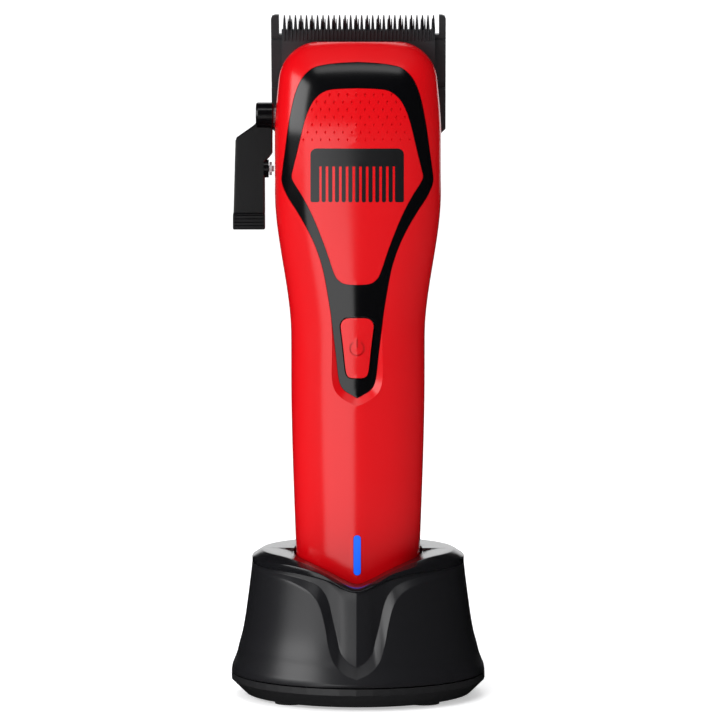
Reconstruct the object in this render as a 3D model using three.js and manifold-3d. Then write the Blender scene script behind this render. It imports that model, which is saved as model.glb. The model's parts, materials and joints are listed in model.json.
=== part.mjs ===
// A cordless hair clipper standing in its charging stand, as separate pieces.
// Millimetres, +Z up, origin on the table under the middle of the stand.
// The clipper's face with the power button looks along -Y and its blades point up.
import * as THREE from "three";
import { mergeVertices } from "three/addons/utils/BufferGeometryUtils.js";
import { ParametricGeometry } from "three/addons/geometries/ParametricGeometry.js";
import Module from "manifold-3d";

const wasm = await Module();
wasm.setup();

// ---------- driving dimensions ----------
const GAP = 0.3; // between two fixed pieces that touch
const RUN = 0.2; // running clearance of what moves

// clipper body
const BODY_BOTTOM = 20;
const BODY_TOP = 171;
const GRIP_HALF_WIDTH = 17.4;
const HEAD_HALF_WIDTH = 21.6;
const FOOT_HALF_WIDTH = 15.6;
const GRIP_FRONT = 17.6; // from the axis to the keel
const GRIP_REAR = 15.8;
const KEEL_RISE = 2.6; // how far the keel stands proud of the front corners
const WALL = 2.4;
const SKIN = 1.2; // thickness of the trim and the panel let into the front
const PARTING_Y = 2; // where the front and rear shells meet
const CAP_TOP = 30; // end cap below, shells above

// blades, measured in their own plane, which leans forward
const BLADE_LEAN = 14; // degrees
const BLADE_TIP = { y: 7, z: 178 };
const BLADE_WIDTH = 45.6;
const BLADE_LENGTH = 32.5;
const BLADE_THICK = 2.4;
const CUTTER_WIDTH = 40;
const CUTTER_THICK = 2;
const CUTTER_TIP_BACK = 0.8; // how far the cutter stops short of the fixed teeth
const FIXED_PITCH = 1.44;
const FIXED_TOOTH = 5.3;
const CUTTER_PITCH = 0.963;
const CUTTER_TOOTH = 2.9;
const CUTTER_LENGTH = 23.2;
const GUIDE_LENGTH = 11.5;

// taper lever, on the left side
const LEVER_AXIS = { y: PARTING_Y, z: 151.4 };
const HUB_R = 3.45;
const LEVER_THICK = 3;
const LEVER_TRAVEL = 36; // degrees
const CRANK_THROW = 2.6;

// drive
const MOTOR_R = 11;
const MOTOR_BOTTOM = 98;
const MOTOR_LENGTH = 21;
const ECCENTRICITY = 0.8;
const ARM_PIVOT_Z = 141;
const ARM_Y = [1, 4];
const FINGER_Z = 162.5;

// power button and light
const BUTTON = { top: 99.9, bottom: 84.4, halfTop: 4.3, halfBottom: 2.75 };
const LIGHT = { low: 33.2, high: 43.6, half: 0.9 };

// stand
const STAND_R = 33.2;
const STAND_TOP = 38.3;
const WAIST_R = 27.6; // the stand just under its rim
const RIM_R = 25.1;
const SEAM_Z = 6.1;
const BASE_BOTTOM = 0.8; // the feet lift the base plate this far
const NOTCH_DEPTH = 7.5;
const NOTCH_HALF = 16;
const SOCKET_CLEAR = 0.5;
const CRADLE_WALL = 1.8;
const STAND_WALL = 2.4;

// ---------- geometry helpers ----------
const radians = THREE.MathUtils.degToRad;

function solid(geometry) {
  const bare = geometry.clone();
  bare.deleteAttribute("normal");
  bare.deleteAttribute("uv");
  const merged = mergeVertices(bare, 1e-4);
  return new wasm.Manifold(
    new wasm.Mesh({
      numProp: 3,
      vertProperties: merged.attributes.position.array,
      triVerts: new Uint32Array(merged.index.array),
    }),
  );
}

function geometryOf(body) {
  const mesh = body.getMesh();
  return new THREE.BufferGeometry()
    .setAttribute("position", new THREE.BufferAttribute(mesh.vertProperties, 3))
    .setIndex(new THREE.BufferAttribute(mesh.triVerts, 1));
}

const union = (...bodies) => bodies.reduce((a, b) => a.add(b));
const cut = (body, ...tools) => tools.reduce((a, b) => a.subtract(b), body);

function block(x, y, z) {
  const box = new THREE.BoxGeometry(x[1] - x[0], y[1] - y[0], z[1] - z[0]);
  return solid(box.translate((x[0] + x[1]) / 2, (y[0] + y[1]) / 2, (z[0] + z[1]) / 2));
}

// A cylinder along "x", "y" or "z" from one end to the other, at the two other coordinates.
function rod(axis, r, ends, at, sides = 16) {
  const g = new THREE.CylinderGeometry(r, r, ends[1] - ends[0], sides);
  const mid = (ends[0] + ends[1]) / 2;
  if (axis === "x") return solid(g.rotateZ(Math.PI / 2).translate(mid, at[0], at[1]));
  if (axis === "y") return solid(g.translate(at[0], mid, at[1]));
  return solid(g.rotateX(Math.PI / 2).translate(at[0], at[1], mid));
}

// An outline drawn in Y and Z, made solid from x[0] to x[1].
function plateX(points, x) {
  const outline = new THREE.Shape(points.map((p) => new THREE.Vector2(p[0], p[1])));
  const g = new THREE.ExtrudeGeometry(outline, { depth: x[1] - x[0], bevelEnabled: false });
  const cycle = new THREE.Matrix4().set(0, 0, 1, x[0], 1, 0, 0, 0, 0, 1, 0, 0, 0, 0, 0, 1);
  return solid(g.applyMatrix4(cycle));
}

function turned(profile, sides = 48) {
  const g = new THREE.LatheGeometry(profile.map((p) => new THREE.Vector2(p[0], p[1])), sides);
  return solid(g.rotateX(Math.PI / 2));
}

// An outline drawn in X and Z, made solid from y[0] to y[1].
function plateY(shape, y, curveSegments = 5) {
  const g = new THREE.ExtrudeGeometry(shape, { depth: y[1] - y[0], bevelEnabled: false, curveSegments });
  return solid(g.rotateX(Math.PI / 2).translate(0, y[1], 0));
}

// A closed outline through corners [x, z, radius], each rounded by its own radius.
function roundedOutline(corners) {
  const shape = new THREE.Shape();
  const at = (i) => corners[(i + corners.length) % corners.length];
  const toward = (from, to, distance) => {
    const length = Math.hypot(to[0] - from[0], to[1] - from[1]);
    const share = Math.min(distance, length * 0.48) / length;
    return [from[0] + (to[0] - from[0]) * share, from[1] + (to[1] - from[1]) * share];
  };
  corners.forEach((corner, i) => {
    const before = toward(corner, at(i - 1), corner[2]);
    const after = toward(corner, at(i + 1), corner[2]);
    if (i === 0) shape.moveTo(...before);
    else shape.lineTo(...before);
    shape.quadraticCurveTo(corner[0], corner[1], ...after);
  });
  shape.closePath();
  return shape;
}

// Right-hand corners from top to bottom, mirrored to the left.
function mirrored(right, grow = 0) {
  const grown = right.map(([x, z, r], i) => {
    const down = i === right.length - 1 ? -1 : i === 0 ? 1 : 0;
    return [x + grow, z + down * grow, r];
  });
  const left = grown.map(([x, z, r]) => [-x, z, r]).reverse();
  return roundedOutline([...grown, ...left].reverse());
}

// A smooth rise from 0 to 1 between two heights.
function ease(z, low, high) {
  const t = THREE.MathUtils.clamp((z - low) / (high - low), 0, 1);
  return t * t * (3 - 2 * t);
}
// A quarter ellipse that falls from 1 to 0 between two heights.
function roundOff(z, low, high) {
  const t = THREE.MathUtils.clamp((z - low) / (high - low), 0, 1);
  return Math.sqrt(1 - t * t);
}

// ---------- the clipper's outer form ----------
const SHOULDER = 7; // radius of the head's top corners in the front view
const NOSE_START = 146;
const NOSE_SETBACK = 14;

function halfWidth(z) {
  const grip = THREE.MathUtils.lerp(FOOT_HALF_WIDTH, GRIP_HALF_WIDTH, ease(z, BODY_BOTTOM - 10, 84));
  const head = THREE.MathUtils.lerp(grip, HEAD_HALF_WIDTH, ease(z, 94, 132));
  const crown = head - 1.7 * ease(z, 146, 172);
  return crown - SHOULDER * (1 - roundOff(z, BODY_TOP - SHOULDER, BODY_TOP));
}
function frontDepth(z) {
  const foot = 1.6 * (1 - ease(z, BODY_BOTTOM, 60));
  return GRIP_FRONT - foot - NOSE_SETBACK * (1 - roundOff(z, NOSE_START, BODY_TOP + 0.2));
}
function rearDepth(z) {
  return GRIP_REAR - 1.2 * (1 - ease(z, BODY_BOTTOM, 60));
}
function keelRise(z) {
  return KEEL_RISE * (1 - 0.55 * ease(z, 95, 140));
}

const FRONT_SQUARE = 3.4; // superellipse powers of the section
const REAR_SQUARE = 2.6;

// A point of the section at height z; turn runs from 0 to 1 round it, starting at the keel.
function sectionPoint(turn, z, grow, target) {
  const angle = turn * 2 * Math.PI;
  const s = Math.sin(angle);
  const c = Math.cos(angle);
  const power = 2 / (c >= 0 ? FRONT_SQUARE : REAR_SQUARE);
  const across = Math.abs(s) ** power;
  const out = Math.abs(c) ** power;
  const depth = c >= 0 ? frontDepth(z) + grow - keelRise(z) * across : rearDepth(z) + grow;
  return target.set(Math.sign(s) * across * (halfWidth(z) + grow), -Math.sign(c) * out * depth, z);
}

// The body's form, grown outwards or, with a negative value, shrunk to leave a wall.
function bodyForm(grow, around = 36, along = 14, bottom = BODY_BOTTOM, top = BODY_TOP) {
  const low = bottom - grow;
  const high = top + grow;
  const form = new ParametricGeometry(
    (u, v, target) => {
      const step = THREE.MathUtils.clamp(v * (along + 2) - 1, 0, along) / along;
      const z = low + (high - low) * Math.sin((step * Math.PI) / 2) ** 1.25;
      const capped = v * (along + 2) < 0.5 || v * (along + 2) > along + 1.5;
      const shape = sectionPoint(u % 1, THREE.MathUtils.clamp(z, bottom, top), grow, target);
      return capped ? shape.set(0, 0, z) : shape.setZ(z);
    },
    around,
    along + 2,
  );
  return solid(form);
}

// ---------- the blade's own frame ----------
// x across, n out of the blade's face away from the clipper, s up the blade from its heel.
const lean = radians(BLADE_LEAN);
const bladeFrame = new THREE.Matrix4().makeRotationX(lean);
const tipFromHeel = new THREE.Vector3(0, BLADE_THICK, BLADE_LENGTH).applyMatrix4(bladeFrame);
bladeFrame.setPosition(0, BLADE_TIP.y - tipFromHeel.y, BLADE_TIP.z - tipFromHeel.z);
const toWorld = (body) => body.transform(bladeFrame.elements);
const toBlade = (body) => body.transform(bladeFrame.clone().invert().elements);

// The outline of a comb: a plate with pointed teeth along its top edge and a broad tooth at each end.
function combShape({ half, foot, heelCut, tip, toothLength, pitch, endTooth }) {
  const corner = Math.min(1.2, endTooth * 0.4);
  const root = tip - toothLength;
  const toothRoot = pitch * 0.31;
  const toothTip = pitch * 0.13;
  const shape = new THREE.Shape().moveTo(-half + heelCut, foot).lineTo(half - heelCut, foot);
  shape.lineTo(half, foot + heelCut).lineTo(half, tip - corner);
  shape.quadraticCurveTo(half, tip, half - corner, tip).lineTo(half - endTooth, tip);
  shape.lineTo(half - endTooth, root);
  const count = Math.floor((2 * (half - endTooth)) / pitch - 0.4);
  for (let i = 0; i < count; i++) {
    const x = ((count - 1) / 2 - i) * pitch;
    shape.lineTo(x + toothRoot, root).lineTo(x + toothTip, tip - 0.1);
    shape.lineTo(x - toothTip, tip - 0.1).lineTo(x - toothRoot, root);
  }
  shape.lineTo(-half + endTooth, root).lineTo(-half + endTooth, tip).lineTo(-half + corner, tip);
  shape.quadraticCurveTo(-half, tip, -half, tip - corner).lineTo(-half, foot + heelCut);
  shape.closePath();
  return shape;
}

// ---------- materials ----------
const finish = (color, roughness, metalness = 0) =>
  new THREE.MeshStandardMaterial({ color, roughness, metalness });
const paint = {
  red: finish(0xd8101a, 0.32),
  glossBlack: finish(0x0a0a0b, 0.12),
  satinBlack: finish(0x222226, 0.42),
  coatedSteel: finish(0x1b1b1d, 0.3, 0.8),
  steel: finish(0xb9babd, 0.25, 1),
  blackMetal: finish(0x101012, 0.28, 0.7),
  nylon: finish(0x2c2c30, 0.6),
  light: finish(0x0a6cff, 0.3),
  brass: finish(0xcaa24a, 0.3, 1),
  board: finish(0x14502f, 0.5),
  rubber: finish(0x18181a, 0.85),
  cellWrap: finish(0x3d7fb5, 0.4),
};

const clipper = new THREE.Group();
const bladeSet = new THREE.Group();
bladeSet.applyMatrix4(bladeFrame);
clipper.add(bladeSet);
const stand = new THREE.Group();

function piece(group, name, body, material, position = [0, 0, 0]) {
  const mesh = new THREE.Mesh(geometryOf(body), material);
  mesh.name = name;
  mesh.position.set(...position);
  group.add(mesh);
  return mesh;
}

// ---------- outlines on the clipper's face ----------
const CROWN_Z = BODY_TOP - 5.6;
const WAIST_Z = 135.7; // the trim is widest here
const trimCorners = [
  [13.8, CROWN_Z - 0.6, 7.5],
  [17.6, CROWN_Z - 14, 14],
  [19.9, WAIST_Z, 3.2],
  [9.5, WAIST_Z - 18.4, 14],
  [4.9, BUTTON.bottom - 1, 3.4],
  [0.4, BUTTON.bottom - 5.2, 0.2],
];
const panelCorners = [
  [11.2, CROWN_Z - 6.6, 5],
  [14.0, CROWN_Z - 17, 12],
  [17.1, WAIST_Z + 0.2, 3.2],
  [11.3, WAIST_Z - 9.8, 14],
  [4.8, WAIST_Z - 27.2, 4],
];
const buttonCorners = [
  [BUTTON.halfTop, BUTTON.top, 1.6],
  [BUTTON.halfBottom, BUTTON.bottom, 1.6],
];
const facePrism = (corners, grow, y = [-40, 0]) => plateY(mirrored(corners, grow), y);

// ---------- housing ----------
const outer = bodyForm(0);
const inner = bodyForm(-WALL, 20, 10);
const skinBack = bodyForm(-SKIN);
const pocketFloor = bodyForm(-SKIN - GAP);
const everything = 60;
const aboveCap = block([-30, 30], [-30, 30], [CAP_TOP + GAP / 2, 200]);
const frontHalf = block([-30, 30], [-30, PARTING_Y - GAP / 2], [0, 200]);
const rearHalf = block([-30, 30], [PARTING_Y + GAP / 2, 30], [0, 200]);
const headOpening = toWorld(
  block([-everything, everything], [-CUTTER_THICK - 1.1, everything], [-0.5, everything]),
);
const LEVER_HOLE_R = 2.3;
const leverHole = rod("x", LEVER_HOLE_R, [-40, -14], [LEVER_AXIS.y, LEVER_AXIS.z]);
const walls = cut(outer.subtract(inner).intersect(aboveCap), headOpening, leverHole);

// Four screws hold the shells together: two in the grip and two in the head.
const housingScrews = [
  { name: "housing_screw_grip_left", x: -11.8, z: 38, head: 7.9 },
  { name: "housing_screw_grip_right", x: 11.8, z: 38, head: 7.9 },
  { name: "housing_screw_head_left", x: -14.6, z: 127, head: 9.5 },
  { name: "housing_screw_head_right", x: 14.6, z: 127, head: 9.5 },
];
const SCREW_R = 0.9;
const SCREW_HEAD_R = 2.1;
const SCREW_HEAD_H = 1.4;
const BOSS_R = 2.5;
const boss = (screw, y, side) =>
  union(...side.map((half) => rod("y", BOSS_R, y, [screw.x, screw.z], 12).intersect(half)));
const screwBore = (screw) =>
  union(
    rod("y", SCREW_R + GAP, [-6, 30], [screw.x, screw.z], 12),
    rod("y", SCREW_HEAD_R + GAP, [screw.head, 30], [screw.x, screw.z], 12),
  );

function withBosses(shell, half) {
  const bosses = housingScrews.map((s) => boss(s, [-25, 25], [half]).intersect(bodyForm(-0.6)));
  return cut(union(shell, ...bosses), ...housingScrews.map(screwBore));
}

function frontShell() {
  const pocket = facePrism(trimCorners, GAP).subtract(pocketFloor);
  const buttonWay = facePrism(buttonCorners, GAP + RUN);
  const lightWay = facePrism(lightCorners, GAP);
  return cut(withBosses(walls.intersect(frontHalf), frontHalf), pocket, buttonWay, lightWay);
}
const lightCorners = [
  [LIGHT.half, LIGHT.high, LIGHT.half],
  [LIGHT.half, LIGHT.low, LIGHT.half],
];
const rearShell = () => withBosses(walls.intersect(rearHalf), rearHalf);
const skin = outer.subtract(skinBack);
const trimFrame = () =>
  cut(
    skin.intersect(facePrism(trimCorners, 0)),
    facePrism(panelCorners, GAP),
    facePrism(buttonCorners, GAP + RUN),
  );
const facePanel = () => skin.intersect(facePrism(panelCorners, 0));
const SWITCH_TOP_Y = -13;
const BUTTON_TRAVEL = 0.8;
function powerButton() {
  const cap = bodyForm(0.15).subtract(bodyForm(-1.6)).intersect(facePrism(buttonCorners, 0));
  const stemZ = (BUTTON.top + BUTTON.bottom) / 2;
  const stemBack = SWITCH_TOP_Y - BUTTON_TRAVEL - 0.15;
  return union(cap, block([-1.5, 1.5], [-16.4, stemBack], [stemZ - 1.5, stemZ + 1.5]));
}
const statusLight = () => outer.subtract(bodyForm(-WALL - 1)).intersect(facePrism(lightCorners, 0));

piece(clipper, "front_shell", frontShell(), paint.red);
piece(clipper, "rear_shell", rearShell(), paint.red);
piece(clipper, "face_trim", trimFrame(), paint.glossBlack);
piece(clipper, "face_panel", facePanel(), paint.red);
piece(clipper, "power_button", powerButton(), paint.red);
piece(clipper, "status_light", statusLight(), paint.light);

const screwShape = (length) =>
  union(
    rod("y", SCREW_HEAD_R, [0, SCREW_HEAD_H], [0, 0], 12),
    rod("y", SCREW_R, [-length, 0.2], [0, 0], 8),
  );
for (const { name, x, z, head } of housingScrews)
  piece(clipper, name, screwShape(head + 5), paint.steel, [x, head + GAP, z]);

// ---------- end cap with the charging contacts ----------
const CONTACT_X = 6;
const CONTACT_R = 2;
const contactXs = { left: -CONTACT_X, right: CONTACT_X };
const capForm = block([-30, 30], [-30, 30], [0, CAP_TOP - GAP / 2]);
const contactHole = (x, r) => rod("z", r, [BODY_BOTTOM - 5, BODY_BOTTOM + 6], [x, 0], 12);
const PORT = { half: 4.5, depth: 3.2, y: 6 };
function endCap() {
  const cup = outer.intersect(capForm).subtract(inner);
  const port = block([-PORT.half - GAP, PORT.half + GAP], [PORT.y - 2, PORT.y + 2], [0, 26]);
  return cut(cup, port, ...Object.values(contactXs).map((x) => contactHole(x, CONTACT_R + GAP)));
}
piece(clipper, "end_cap", endCap(), paint.satinBlack);
for (const [side, x] of Object.entries(contactXs))
  piece(
    clipper,
    "charge_contact_" + side,
    union(
      rod("z", CONTACT_R, [BODY_BOTTOM + 0.3, BODY_BOTTOM + 3.5], [x, 0], 12),
      rod("z", CONTACT_R + 1, [BODY_BOTTOM + 2.4 + GAP, BODY_BOTTOM + 3.6], [x, 0], 12),
    ),
    paint.brass,
  );
piece(
  clipper,
  "charge_port",
  block([-PORT.half, PORT.half], [PORT.y - 1.7, PORT.y + 1.7], [BODY_BOTTOM + 0.3, 27]).subtract(
    block([-PORT.half + 0.5, PORT.half - 0.5], [PORT.y - 1.2, PORT.y + 1.2], [0, 25.5]),
  ),
  paint.steel,
);

// ---------- battery and board ----------
const CELL = { r: 9.1, y: 3.2, low: 32, length: 64 };
const BOARD = { front: -9.4, thick: 1, low: 33, high: 96.5, half: 8.5 };
piece(
  clipper,
  "battery_cell",
  rod("z", CELL.r, [CELL.low, CELL.low + CELL.length], [0, CELL.y], 24),
  paint.cellWrap,
);
const tray = block([-7, 7], [BOARD.front + BOARD.thick + GAP, 1], [CELL.low + 2, 93]).subtract(
  rod("z", CELL.r + GAP, [0, 200], [0, CELL.y], 24),
);
piece(clipper, "battery_tray", tray, paint.nylon);
piece(
  clipper,
  "main_board",
  block([-BOARD.half, BOARD.half], [BOARD.front, BOARD.front + BOARD.thick], [BOARD.low, BOARD.high]),
  paint.board,
);
const buttonZ = (BUTTON.top + BUTTON.bottom) / 2;
piece(
  clipper,
  "power_switch",
  union(
    block([-3, 3], [SWITCH_TOP_Y + 0.8, BOARD.front - GAP], [buttonZ - 3, buttonZ + 3]),
    rod("y", 1.5, [SWITCH_TOP_Y, SWITCH_TOP_Y + 1], [0, buttonZ], 12),
  ),
  paint.nylon,
);
const lightZ = (LIGHT.low + LIGHT.high) / 2;
piece(
  clipper,
  "indicator_led",
  block([-0.8, 0.8], [BOARD.front - 1.3, BOARD.front - GAP], [lightZ - 1.5, lightZ + 1.5]),
  paint.light,
);

// ---------- drive ----------
const motorTop = MOTOR_BOTTOM + MOTOR_LENGTH;
const PIN_R = 1;
const CAM = { r: 4.5, low: motorTop + 2.6, high: motorTop + 5.4 };
const PIN_TOP = CAM.high + 4;
const SHAFT_R = 1.2;
piece(
  clipper,
  "motor_can",
  cut(
    rod("z", MOTOR_R, [MOTOR_BOTTOM, motorTop], [0, 0], 24),
    rod("z", MOTOR_R - 1.2, [MOTOR_BOTTOM + 2, motorTop - 1.2], [0, 0], 24),
    rod("z", SHAFT_R + 1.3, [MOTOR_BOTTOM, 200], [0, 0], 12),
  ),
  paint.steel,
);
piece(
  clipper,
  "motor_bush",
  rod("z", SHAFT_R + 1, [motorTop - 1.2, motorTop + 0.6], [0, 0], 12).subtract(
    rod("z", SHAFT_R + RUN, [0, 200], [0, 0], 12),
  ),
  paint.brass,
);
piece(
  clipper,
  "motor_rotor",
  union(
    rod("z", SHAFT_R, [MOTOR_BOTTOM + 2.4, CAM.low + 1.6], [0, 0], 12),
    rod("z", MOTOR_R - 2.4, [MOTOR_BOTTOM + 4, motorTop - 3], [0, 0], 16),
  ),
  paint.steel,
);
piece(
  clipper,
  "eccentric_cam",
  cut(
    union(
      rod("z", CAM.r, [CAM.low, CAM.high], [0, 0], 16),
      rod("z", PIN_R, [CAM.high - 0.5, PIN_TOP - 0.6], [ECCENTRICITY, 0], 12),
    ),
    rod("z", SHAFT_R + 0.1, [0, CAM.low + 1.7], [0, 0], 12),
  ),
  paint.brass,
);

const pivotLength = [-9, ARM_Y[1] + 0.8];
const PIVOT_R = 1.5;
const towerY = [-9.5, -CAM.r - 1];
piece(
  clipper,
  "motor_bracket",
  cut(
    union(
      block([-13, 13], [-9.5, 9.5], [motorTop + 0.9, motorTop + 2.2]),
      block([-5, 5], towerY, [motorTop + 1, ARM_PIVOT_Z + 4]),
      block([-5, 5], [towerY[0], ARM_Y[0] - GAP], [ARM_PIVOT_Z - 3.4, ARM_PIVOT_Z + 4]),
    ),
    rod("z", 3.4, [motorTop, motorTop + 2.3], [0, 0], 16),
    rod("y", PIVOT_R + 0.1, [-20, 20], [0, ARM_PIVOT_Z], 12),
  ),
  paint.nylon,
);
piece(clipper, "arm_pivot_pin", rod("y", PIVOT_R, pivotLength, [0, ARM_PIVOT_Z], 12), paint.steel);

// The arm rocks on its pin: the cam swings its fork and its finger pushes the cutter.
const forkSwing = 2 * ECCENTRICITY;
const FORK_SLOT = PIN_R + forkSwing + 0.15;
const FINGER_HALF = 1.5;
const fingerEnd = 7.6;
piece(
  clipper,
  "drive_arm",
  cut(
    union(
      block([-2.5, 2.5], ARM_Y, [CAM.high + 1, FINGER_Z + FINGER_HALF]),
      rod("y", 4.4, ARM_Y, [0, ARM_PIVOT_Z], 16),
      block([-FORK_SLOT - 2, FORK_SLOT + 2], [-3.4, ARM_Y[1]], [CAM.high + 0.6, PIN_TOP - 0.4]),
      block([-FINGER_HALF, FINGER_HALF], [ARM_Y[0], fingerEnd], [FINGER_Z - 1.5, FINGER_Z + 1.5]),
    ),
    block([-FORK_SLOT, FORK_SLOT], [-4, 2.6], [CAM.high, PIN_TOP]),
    rod("y", PIVOT_R + 0.1, [-20, 20], [0, ARM_PIVOT_Z], 12),
  ),
  paint.nylon,
);

// ---------- blade set, in the blade's frame: x across, y out of the blade, z up the blade ----------
const BLADE_SCREW = { x: 9, s: 4, shank: 1.4, head: 2.6, headH: 1.2 };
const blade = { half: BLADE_WIDTH / 2, foot: 0, tip: BLADE_LENGTH, endTooth: 3.2, heelCut: 1.8 };
const cutterTip = BLADE_LENGTH - CUTTER_TIP_BACK;
const CUTTER_FOOT = cutterTip - CUTTER_LENGTH;
const cutter = {
  half: CUTTER_WIDTH / 2,
  foot: CUTTER_FOOT,
  tip: cutterTip,
  endTooth: 0.9,
  heelCut: 1,
};
const bladeScrewAt = [-BLADE_SCREW.x, BLADE_SCREW.x];
function fixedBlade() {
  const comb = combShape({ ...blade, toothLength: FIXED_TOOTH, pitch: FIXED_PITCH });
  const bevelStart = BLADE_LENGTH - 9;
  const bevel = [
    [BLADE_THICK, bevelStart],
    [BLADE_THICK + 1, bevelStart],
    [BLADE_THICK + 1, BLADE_LENGTH + 1],
    [0.7, BLADE_LENGTH + 1],
  ];
  const groove = (s, width) => block([-30, 30], [-1, 0.5], [s, s + width]);
  const hole = (x) => [
    rod("y", BLADE_SCREW.shank + GAP, [-5, 9], [x, BLADE_SCREW.s], 12),
    rod("y", BLADE_SCREW.head + 0.2, [BLADE_THICK - BLADE_SCREW.headH - 0.1, 9], [x, BLADE_SCREW.s], 16),
  ];
  return cut(
    plateY(comb, [0, BLADE_THICK], 3),
    plateX(bevel, [-30, 30]),
    groove(BLADE_LENGTH - 20.3, 1.6),
    groove(BLADE_LENGTH - 7.1, 0.4),
    ...bladeScrewAt.flatMap(hole),
  );
}
const CUTTER_FACE = -RUN - CUTTER_THICK;
const RETRACT = (CRANK_THROW * Math.sin(radians(LEVER_TRAVEL))) / Math.cos(lean); // the cutter's travel down the blade
const FINGER_PLAY = 3.7; // room for the finger along the blade as the lever moves the cutter
const fingerS = new THREE.Vector3(0, fingerEnd, FINGER_Z).applyMatrix4(bladeFrame.clone().invert()).z;
const fingerSlot = [fingerS - FINGER_PLAY, fingerS + FINGER_PLAY];
function cutterBlade() {
  const comb = combShape({ ...cutter, toothLength: CUTTER_TOOTH, pitch: CUTTER_PITCH });
  const bevel = [
    [CUTTER_FACE - 1, cutter.tip - 7.5],
    [CUTTER_FACE, cutter.tip - 7.5],
    [-RUN - 0.6, cutter.tip + 0.5],
    [CUTTER_FACE - 1, cutter.tip + 0.5],
  ];
  return cut(
    plateY(comb, [CUTTER_FACE, -RUN], 3),
    plateX(bevel, [-30, 30]),
    block([-FINGER_HALF - 0.15, FINGER_HALF + 0.15], [-9, 9], fingerSlot),
  );
}
piece(bladeSet, "fixed_blade", fixedBlade(), paint.coatedSteel);
piece(bladeSet, "cutter_blade", cutterBlade(), paint.coatedSteel);

// The seat fills the head behind the blade's heel and takes its two screws.
const SEAT_S = [0.2, CUTTER_FOOT - RETRACT - 2 * GAP];
const seatWide = block([-20.4, 20.4], [-CUTTER_THICK - 0.8, -GAP], SEAT_S);
const seatDeep = block([-30, 30], [-6, -1], SEAT_S).intersect(toBlade(bodyForm(-WALL - GAP)));
const armWay = block([-5.4, 5.4], [-9, -CUTTER_THICK - 2.6], [-9, 20]);
const seatBore = (x) => rod("y", BLADE_SCREW.shank + 0.1, [-9, 9], [x, BLADE_SCREW.s], 12);
const CRANK_HALF = { x: [-15.8, -9.2], y: 4.6 };
const crankWay = toBlade(
  block(CRANK_HALF.x, [LEVER_AXIS.y - 5, LEVER_AXIS.y + 6.9], [LEVER_AXIS.z - 6.4, LEVER_AXIS.z + 5]),
);
piece(
  bladeSet,
  "blade_seat",
  cut(union(seatWide, seatDeep), armWay, crankWay, ...bladeScrewAt.map(seatBore)),
  paint.blackMetal,
);
const bladeScrew = union(
  rod("y", BLADE_SCREW.head, [0, BLADE_SCREW.headH], [0, 0], 16),
  rod("y", BLADE_SCREW.shank, [-3.6, 0.2], [0, 0], 12),
).subtract(union(block([-2, 2], [0.7, 2], [-0.3, 0.3]), block([-0.3, 0.3], [0.7, 2], [-2, 2])));
for (const [i, x] of bladeScrewAt.entries())
  piece(bladeSet, "blade_screw_" + ["left", "right"][i], bladeScrew, paint.steel, [
    x,
    BLADE_THICK - BLADE_SCREW.headH,
    BLADE_SCREW.s,
  ]);

// The guide presses the cutter on the fixed blade and is moved along it by the taper lever.
const guideN = [CUTTER_FACE - GAP - 2.4, CUTTER_FACE - GAP];
const GUIDE_HALF = 12.5;
const GUIDE_LOW = CUTTER_FOOT;
const PIN_SLOT_HALF = PIN_R + 0.25;
const CRANK_PIN_X = [-13.5, -9.9];
function cutterGuide() {
  const frame = block([-GUIDE_HALF, GUIDE_HALF], guideN, [GUIDE_LOW, GUIDE_LOW + GUIDE_LENGTH]).subtract(
    block([-6.6, 6.6], [-20, 20], [GUIDE_LOW + 3, BLADE_LENGTH]),
  );
  const lugWorld = block(
    [-GUIDE_HALF, CRANK_PIN_X[1] + 0.6],
    [3.4, 7.4],
    [LEVER_AXIS.z - 3.2, LEVER_AXIS.z + 4.4],
  );
  const slot = block(
    [-20, 0],
    [0, LEVER_AXIS.y + CRANK_THROW + PIN_R + 0.5],
    [LEVER_AXIS.z - PIN_SLOT_HALF, LEVER_AXIS.z + PIN_SLOT_HALF],
  );
  const lug = toBlade(lugWorld.subtract(slot)).intersect(block([-30, 30], [-30, guideN[1]], [0, 40]));
  return union(frame, lug);
}
piece(bladeSet, "cutter_guide", cutterGuide(), paint.nylon);
const springTop = GUIDE_LOW + GUIDE_LENGTH - 1;
const springN = [guideN[0] - GAP - 0.6, guideN[0] - GAP];
piece(
  bladeSet,
  "tension_spring",
  union(
    block([-9, 9], springN, [GUIDE_LOW + 0.4, GUIDE_LOW + 2.4]),
    block([-9, -6.8], springN, [GUIDE_LOW + 0.4, springTop]),
    block([6.8, 9], springN, [GUIDE_LOW + 0.4, springTop]),
  ),
  paint.steel,
);

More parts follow.
